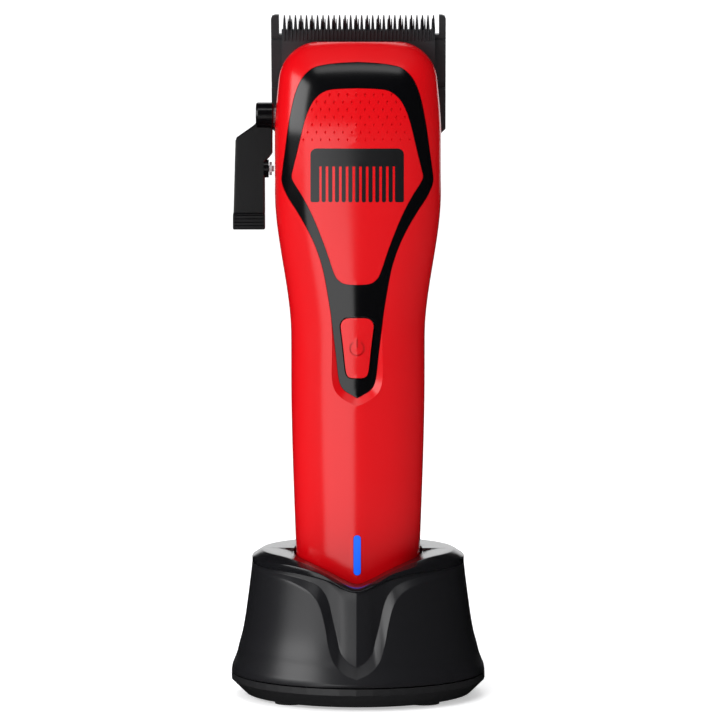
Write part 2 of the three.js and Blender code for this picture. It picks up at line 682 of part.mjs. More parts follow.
// ---------- taper lever ----------
const hubX = [-26.6, -HEAD_HALF_WIDTH - 0.35];
const PADDLE = { outer: -32.6, inner: -24.4, low: 121.8, lip: 4.3 };
const leverY = [LEVER_AXIS.y - LEVER_THICK / 2, LEVER_AXIS.y + LEVER_THICK / 2];
const SHAFT = { r: 2, inner: -15.5 };
const PLUNGER = { z: 137.6, r: 1.75, x: [-23.1, -22.5], ear: [-24.6, -23.3], pinR: 0.8 };
function taperLever() {
  const top = LEVER_AXIS.z - 2.6;
  const arm = roundedOutline([
    [-22.4, top + 2, 0.4],
    [-22.4, 141.2, 0.6],
    [PADDLE.inner + 0.1, PLUNGER.z + 1.4, 0.6],
    [PADDLE.inner, PADDLE.low, 0.5],
    [PADDLE.outer, PADDLE.low, 0.5],
    [PADDLE.outer + 0.7, 146, 2],
    [-26.8, top, 0.4],
    [-26.4, top + 2, 0.4],
  ]);
  return cut(
    union(
      rod("x", HUB_R, hubX, [LEVER_AXIS.y, LEVER_AXIS.z], 20),
      plateY(arm, leverY),
      block([PADDLE.outer, PADDLE.inner], [leverY[0] - 1.6, leverY[1]], [PADDLE.low, PADDLE.low + PADDLE.lip]),
      rod("x", PLUNGER.r + 0.7, PLUNGER.ear, [LEVER_AXIS.y, PLUNGER.z], 12),
    ),
    rod("x", SHAFT.r + 0.1, [hubX[0] + 2.4, 0], [LEVER_AXIS.y, LEVER_AXIS.z], 12),
    rod("x", 2.3, [-40, hubX[0] + 1.5], [LEVER_AXIS.y, LEVER_AXIS.z], 16),
    rod("x", 1.2, [-40, 0], [LEVER_AXIS.y, LEVER_AXIS.z], 12),
    rod("x", PLUNGER.pinR + 0.1, [-27.5, 0], [LEVER_AXIS.y, PLUNGER.z], 12),
  );
}
piece(clipper, "taper_lever", taperLever(), paint.blackMetal);
const leverAt = [LEVER_AXIS.y, LEVER_AXIS.z];
piece(
  clipper,
  "lever_shaft",
  union(
    rod("x", SHAFT.r, [hubX[0] + 2.6, SHAFT.inner + 0.5], leverAt, 12),
    rod("x", 4.3, [SHAFT.inner, CRANK_PIN_X[0]], leverAt, 16),
    rod("x", PIN_R, CRANK_PIN_X, [LEVER_AXIS.y + CRANK_THROW, LEVER_AXIS.z], 12),
  ).subtract(rod("x", 1, [-30, -19], leverAt, 12)),
  paint.steel,
);
piece(
  clipper,
  "lever_screw",
  union(
    rod("x", 2.1, [hubX[0] + 0.2, hubX[0] + 1.3], leverAt, 16),
    rod("x", 0.9, [hubX[0] + 1, hubX[0] + 5], leverAt, 12),
  ).subtract(block([hubX[0], hubX[0] + 0.7], [LEVER_AXIS.y - 0.35, LEVER_AXIS.y + 0.35], [145, 160])),
  paint.steel,
);
piece(
  clipper,
  "plunger_collar",
  rod("x", PLUNGER.r, PLUNGER.x, [LEVER_AXIS.y, PLUNGER.z], 6).subtract(
    rod("x", PLUNGER.pinR + 0.1, [-30, 0], [LEVER_AXIS.y, PLUNGER.z], 12),
  ),
  paint.steel,
);
piece(
  clipper,
  "plunger_pin",
  rod("x", PLUNGER.pinR, [-26.8, -HEAD_HALF_WIDTH - 0.35], [LEVER_AXIS.y, PLUNGER.z], 12),
  paint.steel,
);

// ---------- stand ----------
const standProfile = [
  [STAND_R, SEAM_Z + GAP / 2],
  [STAND_R + 0.1, SEAM_Z + 0.9],
  [STAND_R - 0.7, SEAM_Z + 2.9],
  [STAND_R - 1.5, SEAM_Z + 5],
  [STAND_R - 2, SEAM_Z + 7.1],
  [STAND_R - 3.1, SEAM_Z + 11.3],
  [STAND_R - 4.1, SEAM_Z + 17.6],
  [WAIST_R + 0.2, STAND_TOP - 4.3],
  [WAIST_R, STAND_TOP - 1.8],
  [RIM_R, STAND_TOP],
];
const STAND_LOW = standProfile[0][1];
const innerTop = STAND_TOP - STAND_WALL;
// The stand's outer form, moved inwards by a depth.
function standForm(depth, sides = 48, top = STAND_TOP - depth) {
  const side = standProfile.filter((p) => p[1] < top - 0.5).map(([r, z]) => [r - depth, z]);
  const rim = [Math.min(RIM_R + 1, side.at(-1)[0]) - (depth ? 0 : 1), top];
  return turned([[0, STAND_LOW - (depth ? 1 : 0)], [side[0][0], STAND_LOW - (depth ? 1 : 0)], ...side, rim, [0, top]], sides);
}
const frontOnly = [-60, -4];
// The front of the rim dips in a soft V so that the clipper's keel shows.
const notchCorners = [
  [NOTCH_HALF + 4, STAND_TOP + 8, 0.5],
  [NOTCH_HALF - 1, STAND_TOP - 0.4, 4],
  [0.6, STAND_TOP - NOTCH_DEPTH - 0.6, 2.2],
];
const notch = plateY(mirrored(notchCorners), frontOnly);
const insertCorners = [
  [4, 28.6, 3],
  [13, 32.6, 3],
  [21.6, 33.4, 0.6],
  [12.8, 29.4, 4],
  [9, 25, 5],
  [6.7, 17, 5],
  [4.9, 11, 3],
  [0.5, 7.2, 0.4],
];
const insertWay = plateY(mirrored(insertCorners), frontOnly);

const BOSS = { x: WAIST_R - 5, y: 8.2, r: 3 };
const standBosses = [
  ["front_left", -BOSS.x, -BOSS.y],
  ["front_right", BOSS.x, -BOSS.y],
  ["rear_left", -BOSS.x, BOSS.y],
  ["rear_right", BOSS.x, BOSS.y],
];
const INLET = { half: 4.5, y: [STAND_R - 9.7, STAND_R - 2.2], z: [10.3, 13.7] };
const outerStand = standForm(0);
const socketForm = (grow) => bodyForm(grow, 28).intersect(block([-60, 60], [-60, 60], [0, STAND_TOP]));
function standShell() {
  const bosses = standBosses.map(([, x, y]) =>
    rod("z", BOSS.r, [STAND_LOW, innerTop], [x, y], 12).intersect(outerStand),
  );
  const bores = standBosses.map(([, x, y]) => rod("z", SCREW_R + GAP, [0, 15], [x, y], 12));
  const hollow = cut(outerStand, standForm(STAND_WALL, 28));
  const socket = bodyForm(SOCKET_CLEAR + CRADLE_WALL + GAP, 28);
  const inletWay = block(
    [-INLET.half - GAP, INLET.half + GAP],
    [INLET.y[0], STAND_R + 5],
    [INLET.z[0] - GAP, INLET.z[1] + GAP],
  );
  return cut(union(hollow, ...bosses), socket, notch, insertWay, inletWay, ...bores);
}
piece(stand, "stand_shell", standShell(), paint.satinBlack);

const CONTACT_BARREL_R = 1.3;
function standCradle() {
  const cup = socketForm(SOCKET_CLEAR + CRADLE_WALL).subtract(bodyForm(SOCKET_CLEAR, 28));
  const holes = Object.values(contactXs).map((x) =>
    rod("z", CONTACT_BARREL_R + GAP, [0, BODY_BOTTOM], [x, 0], 12),
  );
  return cut(cup, notch, ...holes);
}
piece(stand, "stand_cradle", standCradle(), paint.glossBlack);

// The V set into the stand's front: a skin behind the surface with a raised prow down the middle.
const PROW_SUNK = 0.7;
function standInsert() {
  const skinRing = standForm(STAND_WALL + 0.5, 36).subtract(standForm(STAND_WALL + 2, 36));
  const wedge = new THREE.Shape()
    .moveTo(0, 0)
    .lineTo(8, 3.2)
    .lineTo(8, 6)
    .lineTo(-8, 6)
    .lineTo(-8, 3.2)
    .closePath();
  // The prow leans back with the wall behind it.
  const [lowR, lowZ] = standProfile[3];
  const [highR, highZ] = standProfile[7];
  const slope = (lowR - highR) / (highZ - lowZ);
  const apexY = PROW_SUNK - lowR - slope * lowZ;
  const rise = new THREE.Matrix4().set(1, 0, 0, 0, 0, 1, slope, apexY, 0, 0, 1, 0, 0, 0, 0, 1);
  const prow = solid(
    new THREE.ExtrudeGeometry(wedge, { depth: STAND_TOP, bevelEnabled: false }).applyMatrix4(rise),
  ).intersect(standForm(1.1));
  return union(skinRing, prow).intersect(plateY(mirrored(insertCorners, -GAP), frontOnly));
}
piece(stand, "stand_insert", standInsert(), paint.glossBlack);

const FOOT = { at: 17.3, r: 4, height: 1.3 };
const BASE_FLOOR = 3;
const footAt = [
  ["front_left", -FOOT.at, -FOOT.at],
  ["front_right", FOOT.at, -FOOT.at],
  ["rear_left", -FOOT.at, FOOT.at],
  ["rear_right", FOOT.at, FOOT.at],
];
function standBase() {
  const plate = turned([
    [0, BASE_BOTTOM],
    [STAND_R - 3.6, BASE_BOTTOM],
    [STAND_R, SEAM_Z - 1.8],
    [STAND_R, SEAM_Z - GAP / 2],
    [STAND_R - 2.7, SEAM_Z - GAP / 2],
    [STAND_R - 2.7, BASE_FLOOR],
    [0, BASE_FLOOR],
  ]);
  const pockets = footAt.map(([, x, y]) => rod("z", FOOT.r + GAP, [0, FOOT.height + GAP], [x, y], 20));
  const screwWays = standBosses.flatMap(([, x, y]) => [
    rod("z", SCREW_R + GAP, [0, BASE_FLOOR + 1], [x, y], 12),
    rod("z", SCREW_HEAD_R + GAP, [0, BASE_BOTTOM + 1.2], [x, y], 12),
  ]);
  return cut(plate, ...pockets, ...screwWays);
}
piece(stand, "stand_base", standBase(), paint.satinBlack);
for (const [where, x, y] of footAt)
  piece(stand, "stand_foot_" + where, rod("z", FOOT.r, [0, FOOT.height], [0, 0], 20), paint.rubber, [x, y, 0]);
const baseScrew = union(
  rod("z", SCREW_HEAD_R, [0, 0.9], [0, 0], 12),
  rod("z", SCREW_R, [0.8, 12], [0, 0], 8),
);
for (const [where, x, y] of standBosses)
  piece(stand, "base_screw_" + where, baseScrew, paint.steel, [x, y, BASE_BOTTOM + 0.1]);

const BALLAST_TOP = 8.5;
piece(
  stand,
  "ballast_ring",
  rod("z", 18.8, [BASE_FLOOR + GAP, BALLAST_TOP], [0, 0], 24).subtract(rod("z", 8, [0, 20], [0, 0], 24)),
  paint.steel,
);
const STAND_BOARD = { z: BALLAST_TOP + GAP, thick: 1.2 };
const boardTop = STAND_BOARD.z + STAND_BOARD.thick;
piece(stand, "stand_board", block([-11, 11], [-8.5, 20], [STAND_BOARD.z, boardTop]), paint.board);
const PIN_REST = 20;
const PIN_TRAVEL = 1;
for (const [side, x] of Object.entries(contactXs)) {
  piece(
    stand,
    "contact_barrel_" + side,
    rod("z", CONTACT_BARREL_R, [boardTop + GAP, 18.6], [0, 0], 16).subtract(
      rod("z", 0.95, [boardTop + GAP + 1, 30], [0, 0], 16),
    ),
    paint.brass,
    [x, 0, 0],
  );
  piece(
    stand,
    "contact_pin_" + side,
    rod("z", 0.75, [boardTop + GAP + 1 + PIN_TRAVEL + 0.4, PIN_REST], [0, 0], 16),
    paint.brass,
    [x, 0, 0],
  );
}
piece(
  stand,
  "power_inlet",
  block([-INLET.half, INLET.half], INLET.y, INLET.z).subtract(
    block([-INLET.half + 0.5, INLET.half - 0.5], [INLET.y[0] + 1.5, 40], [INLET.z[0] + 0.5, INLET.z[1] - 0.5]),
  ),
  paint.steel,
);

const part = new THREE.Group();
part.add(clipper, stand);
export default part;
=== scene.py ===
# %% [markdown]
# # A cordless hair clipper in its charging stand
# The clipper stands upright in a round stand: red shell, black trim, toothed
# blade on top, taper lever at the side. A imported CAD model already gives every
# size and every moving body. This notebook dresses that model: it replaces the
# faceted outer pieces with fine ones of the same size and gives each one its
# finish.

# %% Setup
import json
import math

import bmesh
import bpy
import numpy as np
from mathutils import Matrix, Vector

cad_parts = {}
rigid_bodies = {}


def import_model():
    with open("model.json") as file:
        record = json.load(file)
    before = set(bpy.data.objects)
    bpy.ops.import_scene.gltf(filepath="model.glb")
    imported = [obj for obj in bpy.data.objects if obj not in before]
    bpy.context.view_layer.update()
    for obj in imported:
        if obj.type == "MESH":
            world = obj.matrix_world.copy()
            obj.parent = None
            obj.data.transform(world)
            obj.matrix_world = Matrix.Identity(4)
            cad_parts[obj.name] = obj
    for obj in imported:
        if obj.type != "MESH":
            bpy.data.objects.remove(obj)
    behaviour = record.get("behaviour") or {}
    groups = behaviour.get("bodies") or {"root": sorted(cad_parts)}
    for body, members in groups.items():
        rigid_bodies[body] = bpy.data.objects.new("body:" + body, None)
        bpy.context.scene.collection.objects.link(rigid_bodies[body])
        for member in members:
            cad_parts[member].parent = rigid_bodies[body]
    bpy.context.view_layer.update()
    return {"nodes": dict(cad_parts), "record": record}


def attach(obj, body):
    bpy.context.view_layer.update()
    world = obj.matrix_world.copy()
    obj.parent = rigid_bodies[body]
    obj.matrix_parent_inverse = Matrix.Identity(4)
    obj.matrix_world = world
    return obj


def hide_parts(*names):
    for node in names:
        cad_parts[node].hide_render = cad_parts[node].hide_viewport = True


for left_over in list(bpy.data.objects):
    bpy.data.objects.remove(left_over)
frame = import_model()
MM = 0.001

# %% [markdown]
# ## The camera
# A long lens from a little above the table keeps the upright sides parallel,
# the way a catalogue shows small products.

# %% Camera
CAMERA_TILT = math.radians(4.7)
CAMERA_DISTANCE = 1.2
CAMERA_TURN = math.radians(0.8)
AIM = Vector((0.5, 0, 87.7)) * MM
camera = bpy.data.objects.new("camera", bpy.data.cameras.new("camera"))
bpy.context.scene.collection.objects.link(camera)
camera.data.lens = 229.8
camera.data.sensor_width = 36
level_part = math.cos(CAMERA_TILT)
toward_camera = Vector((
    math.sin(CAMERA_TURN) * level_part, -math.cos(CAMERA_TURN) * level_part, math.sin(CAMERA_TILT)
))
camera.location = AIM + toward_camera * CAMERA_DISTANCE
camera.rotation_euler = (math.pi / 2 - CAMERA_TILT, 0, CAMERA_TURN)
bpy.context.scene.camera = camera

# %% [markdown]
# ## The studio
# Gloss shows whatever stands around an object, so a studio is kept dark and
# only chosen lamps are left for it to mirror. Here the floor, the
# surround, the sun and the ceiling lamp give plain light but are left out of
# reflections. What the gloss can mirror is three soft boxes, one low and near,
# one on the left and one high, and the narrow backdrop behind the object.


# %% Lights and floor
def lamp(name, place, size, power, mirrored=True, aim=(0, 0, 0.09)):
    data = bpy.data.lights.new(name, "AREA")
    data.shape = "RECTANGLE"
    data.size, data.size_y = size
    data.energy = power
    thing = bpy.data.objects.new(name, data)
    thing.location = place
    thing.rotation_euler = (Vector(aim) - Vector(place)).to_track_quat("-Z", "Y").to_euler()
    thing.visible_glossy = mirrored
    bpy.context.scene.collection.objects.link(thing)
    return thing


lamp("near_box", (-0.53, -1.23, -0.05), (0.84, 0.7), 3.7)
lamp("left_box", (-1.15, -0.65, 0.6), (1.0, 0.9), 11.5)
lamp("high_box", (0.0, -0.6, 1.14), (0.9, 0.2), 1.2)
lamp("ceiling", (0, 0, 1.6), (1.6, 1.6), 10.0, mirrored=False)
sun = bpy.data.objects.new("sun", bpy.data.lights.new("sun", "SUN"))
SUN_STRENGTH, SUN_WIDTH, SURROUND_STRENGTH = 1.2, math.radians(40), 0.33
sun.data.energy, sun.data.angle = SUN_STRENGTH, SUN_WIDTH
sun.rotation_euler = Vector((0.35, 0.75, -0.6)).to_track_quat("-Z", "Y").to_euler()
sun.visible_glossy = False
bpy.context.scene.collection.objects.link(sun)

# Plain colour management shows the red as deep as it is painted.
bpy.context.scene.view_settings.view_transform = "Standard"
world = bpy.data.worlds.new("surround")
world.use_nodes = True
world.node_tree.nodes["Background"].inputs["Color"].default_value = (1, 1, 1, 1)
world.node_tree.nodes["Background"].inputs["Strength"].default_value = SURROUND_STRENGTH
world.cycles_visibility.glossy = False
bpy.context.scene.world = world


def mesh_object(name, vertices, faces):
    mesh = bpy.data.meshes.new(name)
    mesh.from_pydata([tuple(v) for v in vertices], [], [tuple(f) for f in faces])
    mesh.validate()
    thing = bpy.data.objects.new(name, mesh)
    bpy.context.scene.collection.objects.link(thing)
    return thing


FLOOR_HALF, BACKDROP_HALF, BACKDROP_TOP = 9.0, 1.3, 6.0
SWEEP_Y, SWEEP_R = 3.0, 2.0


def strip(name, half, side):
    """A band of wall or floor, with a half width, from a side view as (y, height) points."""
    points = [(x, y, z) for y, z in side for x in (-half, half)]
    faces = [(i, i + 1, i + 3, i + 2) for i in range(0, 2 * len(side) - 2, 2)]
    thing = mesh_object(name, points, faces)
    for face in thing.data.polygons:
        face.use_smooth = True
    return thing


floor = strip("floor", FLOOR_HALF, [(-FLOOR_HALF, 0), (SWEEP_Y, 0)])
floor.visible_glossy = False
bend = np.radians(np.arange(0, 91, 5))
curve = [(SWEEP_Y + SWEEP_R * math.sin(a), SWEEP_R * (1 - math.cos(a))) for a in bend]
backdrop = strip("backdrop", BACKDROP_HALF, [*curve, (SWEEP_Y + SWEEP_R, BACKDROP_TOP)])

# %% [markdown]
# ## Finishes
# Shader maths reads best as Python sums, so a small class wraps a socket and
# turns each operator into a Math node. One method makes every other node.


# %% Shader helpers
class Wire:
    """A shader socket that can be used in a sum."""

    def __init__(self, finish, socket):
        self.finish, self.socket = finish, socket

    def maths(self, operation, other=0.0, flip=False):
        first, second = (other, self) if flip else (self, other)
        return self.finish.node("ShaderNodeMath", {"operation": operation}, {0: first, 1: second})

    def __add__(self, other):
        return self.maths("ADD", other)

    def __sub__(self, other):
        return self.maths("SUBTRACT", other)

    def __rsub__(self, other):
        return self.maths("SUBTRACT", other, flip=True)

    def __mul__(self, other):
        return self.maths("MULTIPLY", other)

    __radd__, __rmul__ = __add__, __mul__


class Finish:
    """A material under construction, with its Principled shader."""

    def __init__(self, name, color, roughness, metallic=0.0):
        self.material = bpy.data.materials.new(name)
        self.material.use_nodes = True
        self.tree = self.material.node_tree
        self.shader = self.tree.nodes["Principled BSDF"]
        self.color = (*color, 1.0)
        self.set("Base Color", self.color)
        self.set("Roughness", roughness)
        self.set("Metallic", metallic)

    def node(self, kind, settings=None, inputs=None, output=0):
        made = self.tree.nodes.new(kind)
        for key, value in (settings or {}).items():
            setattr(made, key, value)
        for key, value in (inputs or {}).items():
            self.plug(made.inputs[key], value)
        return Wire(self, made.outputs[output])

    def plug(self, socket, value):
        if isinstance(value, Wire):
            self.tree.links.new(value.socket, socket)
        else:
            socket.default_value = value

    def set(self, name, value):
        self.plug(self.shader.inputs[name], value)

    def place(self, scale=(1, 1, 1)):
        """Position on the object in metres, stretched by scale."""
        where = self.node("ShaderNodeTexCoord", output="Object")
        return self.node("ShaderNodeMapping", {}, {"Vector": where, "Scale": scale})

    def noise(self, size, stretch=(1, 1, 1), detail=3.0):
        """Noise with blobs of about `size` metres."""
        settings = {"Vector": self.place(stretch), "Scale": 1 / size, "Detail": detail}
        return self.node("ShaderNodeTexNoise", {}, settings)

    def mix(self, amount, first, second):
        inputs = {"Factor": amount, 6: first, 7: second}
        return self.node("ShaderNodeMix", {"data_type": "RGBA"}, inputs, output=2)

    def shaded(self, factor):
        """The base colour, darker or lighter by a factor."""
        return tuple(min(1.0, c * factor) for c in self.color[:3]) + (1.0,)

    def bump(self, height, distance, strength=1.0):
        inputs = {"Height": height, "Distance": distance, "Strength": strength}
        self.set("Normal", self.node("ShaderNodeBump", {}, inputs))


def moulded(name, color, roughness, grain=0.00035, depth=0.000004, vary=0.06):
    """Moulded plastic: a fine even grain, and gloss that varies a little over the surface."""
    finish = Finish(name, color, roughness)
    cloud = finish.noise(0.03)
    finish.set("Base Color", finish.mix(cloud, finish.shaded(1 - vary), finish.shaded(1 + vary)))
    finish.set("Roughness", cloud * 0.06 + (roughness - 0.03))
    finish.bump(finish.noise(grain, detail=1.0), depth, 0.35)
    return finish


def brushed(name, color, roughness, along=(1, 1, 30), depth=0.000006, metallic=1.0):
    """Ground metal: long fine scratches that run one way."""
    finish = Finish(name, color, roughness, metallic)
    scratch = finish.noise(0.004, along, 4.0)
    finish.set("Roughness", scratch * 0.22 + (roughness - 0.11))
    finish.set("Base Color", finish.mix(scratch, finish.shaded(0.85), finish.shaded(1.12)))
    finish.bump(scratch, depth, 0.3)
    return finish


# %% [markdown]
# The shell is a deep glossy red. The black parts come in three kinds:
# mirror-gloss trim, a satin stand with a glossy rim, and dark coated steel.

# %% Finishes
red_shell = moulded("red_shell", (0.55, 0.0012, 0.004), 0.21)
trim_gloss = moulded("trim_gloss", (0.002, 0.002, 0.0025), 0.16, depth=0.000001)
mark_black = moulded("mark_black", (0.008, 0.008, 0.009), 0.3, depth=0.000001)
lever_black = moulded("lever_black", (0.002, 0.002, 0.0025), 0.2)
cap_black = moulded("cap_black", (0.012, 0.012, 0.013), 0.45)
coated_steel = brushed("coated_steel", (0.03, 0.031, 0.034), 0.4, metallic=0.35)
bright_steel = brushed("bright_steel", (0.72, 0.72, 0.74), 0.28, (1, 1, 8), metallic=0.6)
brass_plate = brushed("brass_plate", (0.65, 0.42, 0.12), 0.28, (1, 1, 4))
nylon = moulded("nylon", (0.02, 0.02, 0.022), 0.6)
board_green = moulded("board_green", (0.01, 0.09, 0.035), 0.45)
cell_wrap = moulded("cell_wrap", (0.05, 0.2, 0.45), 0.3)
foot_rubber = moulded("foot_rubber", (0.012, 0.012, 0.012), 0.85, grain=0.0006)
pale_floor = moulded("pale_floor", (0.86, 0.86, 0.87), 0.6, grain=0.002)

status_blue = Finish("status_blue", (0.0, 0.11, 0.9), 0.7)
glow = status_blue.noise(0.004)
status_blue.set("Base Color", status_blue.mix(glow, (0, 0.09, 0.85, 1), (0, 0.12, 1, 1)))
status_blue.set("Emission Color", (0.0, 0.13, 1.0, 1.0))
status_blue.set("Emission Strength", 0.25)

stand_black = Finish("stand_black", (0.009, 0.009, 0.0105), 0.32)
rim_mask = stand_black.node("ShaderNodeAttribute", {"attribute_name": "rim"}, output="Fac")
cloud = stand_black.noise(0.02)
stand_black.set("Roughness", (cloud * 0.05 + 0.31) * (1 - rim_mask) + rim_mask * 0.18)
stand_black.set("Base Color", stand_black.mix(rim_mask, stand_black.color, (0.006, 0.006, 0.007, 1)))
stand_black.bump(stand_black.noise(0.0003, detail=1.0), 0.000005, 0.3)


def dress(thing, finish):
    thing.data.materials.clear()
    thing.data.materials.append(finish.material)
    thing.data.polygons.foreach_set("material_index", [0] * len(thing.data.polygons))
    return thing


pale_floor.set("Emission Color", (1, 1, 1, 1))
pale_floor.set("Emission Strength", 0.45)
dress(floor, pale_floor)
dress(backdrop, pale_floor)

# %% [markdown]
# Everything inside, and the small fittings whose CAD shape is already right,
# keeps its mesh and gets its finish here.

# %% Finishes of the CAD pieces that stay
by_slot = {
    "red_shell": red_shell,
    "gloss_black": trim_gloss,
    "satin_black": cap_black,
    "blade_steel": coated_steel,
    "steel": bright_steel,
    "black_metal": lever_black,
    "nylon": nylon,
    "brass": brass_plate,
    "board": board_green,
    "cell_wrap": cell_wrap,
    "light": status_blue,
    "rubber": foot_rubber,
}
for part in frame["record"]["subparts"]:
    dress(frame["nodes"][part["node"]], by_slot[part["material_slot"]])
print(len(frame["nodes"]), "CAD pieces have a finish")

# %% [markdown]
# ## Shape helpers
# Most pieces here start as a curve through a few measured points, in
# millimetres. A Catmull-Rom curve passes through each of its points, so the
# points can be read straight off a drawing.


# %% Curves and meshes
def through(points, steps=6):
    """A smooth open curve through the points."""
    p = np.asarray(points, float)
    p = np.vstack([2 * p[0] - p[1], p, 2 * p[-1] - p[-2]])
    t = np.linspace(0, 1, steps, endpoint=False)[:, None]
    pieces = []
    for a, b, c, d in zip(p, p[1:], p[2:], p[3:]):
        square, cube = 2 * a - 5 * b + 4 * c - d, 3 * (b - c) + d - a
        pieces.append(0.5 * (2 * b + (c - a) * t + square * t**2 + cube * t**3))
    return np.vstack([*pieces, p[-2:-1]])


def mirror_outline(half):
    """A closed outline from its right-hand half, which runs from the top to the bottom on x = 0."""
    left = half[1:-1][::-1] * (-1, 1)
    return np.vstack([half, left])


def ease(z, low, high):
    t = np.clip((z - low) / (high - low), 0, 1)
    return t * t * (3 - 2 * t)


def smooth_shade(thing, sharp_above=28):
    """Smooth faces, with edges kept sharp where the surface turns by more than an angle."""
    mesh = bmesh.new()
    mesh.from_mesh(thing.data)
    limit = math.radians(sharp_above)
    for face in mesh.faces:
        face.smooth = True
    for edge in mesh.edges:
        edge.smooth = len(edge.link_faces) == 2 and edge.calc_face_angle(0) < limit
    mesh.to_mesh(thing.data)
    mesh.free()
    return thing


def stack_of_rings(name, rings, closed_ends=True, scale=MM):
    """A closed mesh from rings of points, each of the same count, with a pole at both ends."""
    rings = np.asarray(rings, float)
    rows, columns, _ = rings.shape
    vertices = rings.reshape(-1, 3)
    faces = []
    for i in range(rows - 1):
        a = np.arange(columns) + i * columns
        b = np.roll(a, -1)
        faces += np.stack([a, b, b + columns, a + columns], 1).tolist()
    if closed_ends:
        low, high = len(vertices), len(vertices) + 1
        vertices = np.vstack([vertices, rings[0].mean(0), rings[-1].mean(0)])
        first = np.arange(columns)
        last = first + (rows - 1) * columns
        faces += [[low, int(b), int(a)] for a, b in zip(first, np.roll(first, -1))]
        faces += [[high, int(a), int(b)] for a, b in zip(last, np.roll(last, -1))]
    return mesh_object(name, vertices * scale, faces)


def prism(name, outline, y):
    """A solid from an outline in X and Z, in millimetres, between two depths y."""
    n = len(outline)
    front = np.column_stack([outline[:, 0], np.full(n, y[0]), outline[:, 1]])
    back = np.column_stack([outline[:, 0], np.full(n, y[1]), outline[:, 1]])
    faces = [list(range(n)), list(range(2 * n - 1, n - 1, -1))]
    faces += [[i, n + i, n + (i + 1) % n, (i + 1) % n] for i in range(n)]
    thing = mesh_object(name, np.vstack([front, back]) * MM, faces)
    return outward(thing)


def outward(thing):
    """Merges doubles and turns every face outwards."""
    mesh = bmesh.new()
    mesh.from_mesh(thing.data)
    bmesh.ops.remove_doubles(mesh, verts=mesh.verts, dist=1e-7)
    bmesh.ops.recalc_face_normals(mesh, faces=mesh.faces)
    mesh.to_mesh(thing.data)
    mesh.free()
    return thing


def brick(name, x, y, z):
    outline = np.array([(x[0], z[0]), (x[1], z[0]), (x[1], z[1]), (x[0], z[1])], float)
    return prism(name, outline, y)


def settled(thing):
    """Applies the modifiers and leaves a plain mesh."""
    bpy.context.view_layer.update()
    evaluated = thing.evaluated_get(bpy.context.evaluated_depsgraph_get())
    mesh = bpy.data.meshes.new_from_object(evaluated)
    thing.modifiers.clear()
    thing.data = mesh
    return thing


def carve(thing, *tools, how="DIFFERENCE"):
    """Cuts tools out of a solid, or keeps what they share, and throws the tools away."""
    for tool in tools:
        modifier = thing.modifiers.new("carve", "BOOLEAN")
        modifier.operation, modifier.solver, modifier.object = how, "MANIFOLD", tool
        settled(thing)
        bpy.data.objects.remove(tool)
    return thing


def finished(thing, finish, body, slot, *replaced):
    """Gives a piece its finish and its body, and hides the CAD nodes it stands for; slot is not used."""
    dress(thing, finish)
    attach(thing, body)
    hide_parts(*replaced)
    print(thing.name, len(thing.data.polygons), "faces")
    return thing


# %% [markdown]
# ## The clipper's form
# The shell's cross-section is a rounded box: flat sides, round corners and a
# keel down the front. One rule gives the section at every height, so the red
# shell, the black trim and the panel can all be cut from the same form and
# meet without a step.

# %% The section at each height
BODY_BOTTOM, BODY_TOP, CAP_TOP = 20.0, 170.6, 30.0
GRIP_FRONT, GRIP_REAR, KEEL = 17.6, 15.8, 2.6
WALL, GAP = 2.4, 0.3
FRONT_SQUARE, REAR_SQUARE = 3.4, 2.6


def round_off(z, low, high):
    t = np.clip((z - low) / (high - low), 0, 1)
    return np.sqrt(1 - t * t)


def half_width(z):
    grip = 15.6 + 1.8 * ease(z, BODY_BOTTOM - 10, 84)
    head = grip + (21.6 - grip) * ease(z, 94, 132)
    return head - 1.7 * ease(z, 146, 172) - 9.5 * (1 - round_off(z, BODY_TOP - 9.5, BODY_TOP))


def front_depth(z):
    nose = 14 * (1 - round_off(z, 146, 171.2))
    return GRIP_FRONT - 1.6 * (1 - ease(z, BODY_BOTTOM, 60)) - nose


def rear_depth(z):
    return GRIP_REAR - 1.2 * (1 - ease(z, BODY_BOTTOM, 60))


def keel(z):
    return KEEL * (1 - 0.55 * ease(z, 95, 140))


def section(turn, z, grow=0.0):
    """Points round the form; turn runs from 0 to 1, starting at the keel."""
    s, c = np.sin(turn * 2 * np.pi), np.cos(turn * 2 * np.pi)
    power = 2 / np.where(c >= 0, FRONT_SQUARE, REAR_SQUARE)
    across, out = np.abs(s) ** power, np.abs(c) ** power
    depth = np.where(c >= 0, front_depth(z) + grow - keel(z) * across, rear_depth(z) + grow)
    return np.sign(s) * across * (half_width(z) + grow), -np.sign(c) * out * depth


def face_y(x, z, grow=0.0):
    """The front surface's y at a point of the face."""
    across = np.clip(np.abs(x) / (half_width(z) + grow), 0, 0.999)
    out = (1 - across**FRONT_SQUARE) ** (1 / FRONT_SQUARE)
    return -out * (front_depth(z) + grow - keel(z) * across)


def form(name, grow=0.0, around=160, along=110, low=BODY_BOTTOM, sink=None):
    """The whole form as a closed mesh, grown outwards or shrunk; sink(x, z) lowers the front."""
    turn = np.arange(around) / around
    t = np.linspace(0, 1, along)
    heights = (low - grow) + (BODY_TOP - low + 2 * grow) * np.sin(t * np.pi / 2) ** 1.1
    rings = []
    for z in heights:
        x, y = section(turn, np.clip(z, BODY_BOTTOM, BODY_TOP), grow)
        if sink is not None:
            y = np.where(y < 0, y + sink(x, z), y)
        rings.append(np.column_stack([x, y, np.full(around, z)]))
    return outward(stack_of_rings(name, rings))


# %% [markdown]
# ## The stand
# The stand is turned on a lathe, then three things break its roundness: the
# rim dips at the front so the keel shows, a V is pressed into the front wall,
# and a prow runs down the middle of the V. Each column of the mesh follows
# its own profile with the same number of points, so every crease runs along
# the mesh instead of across it.

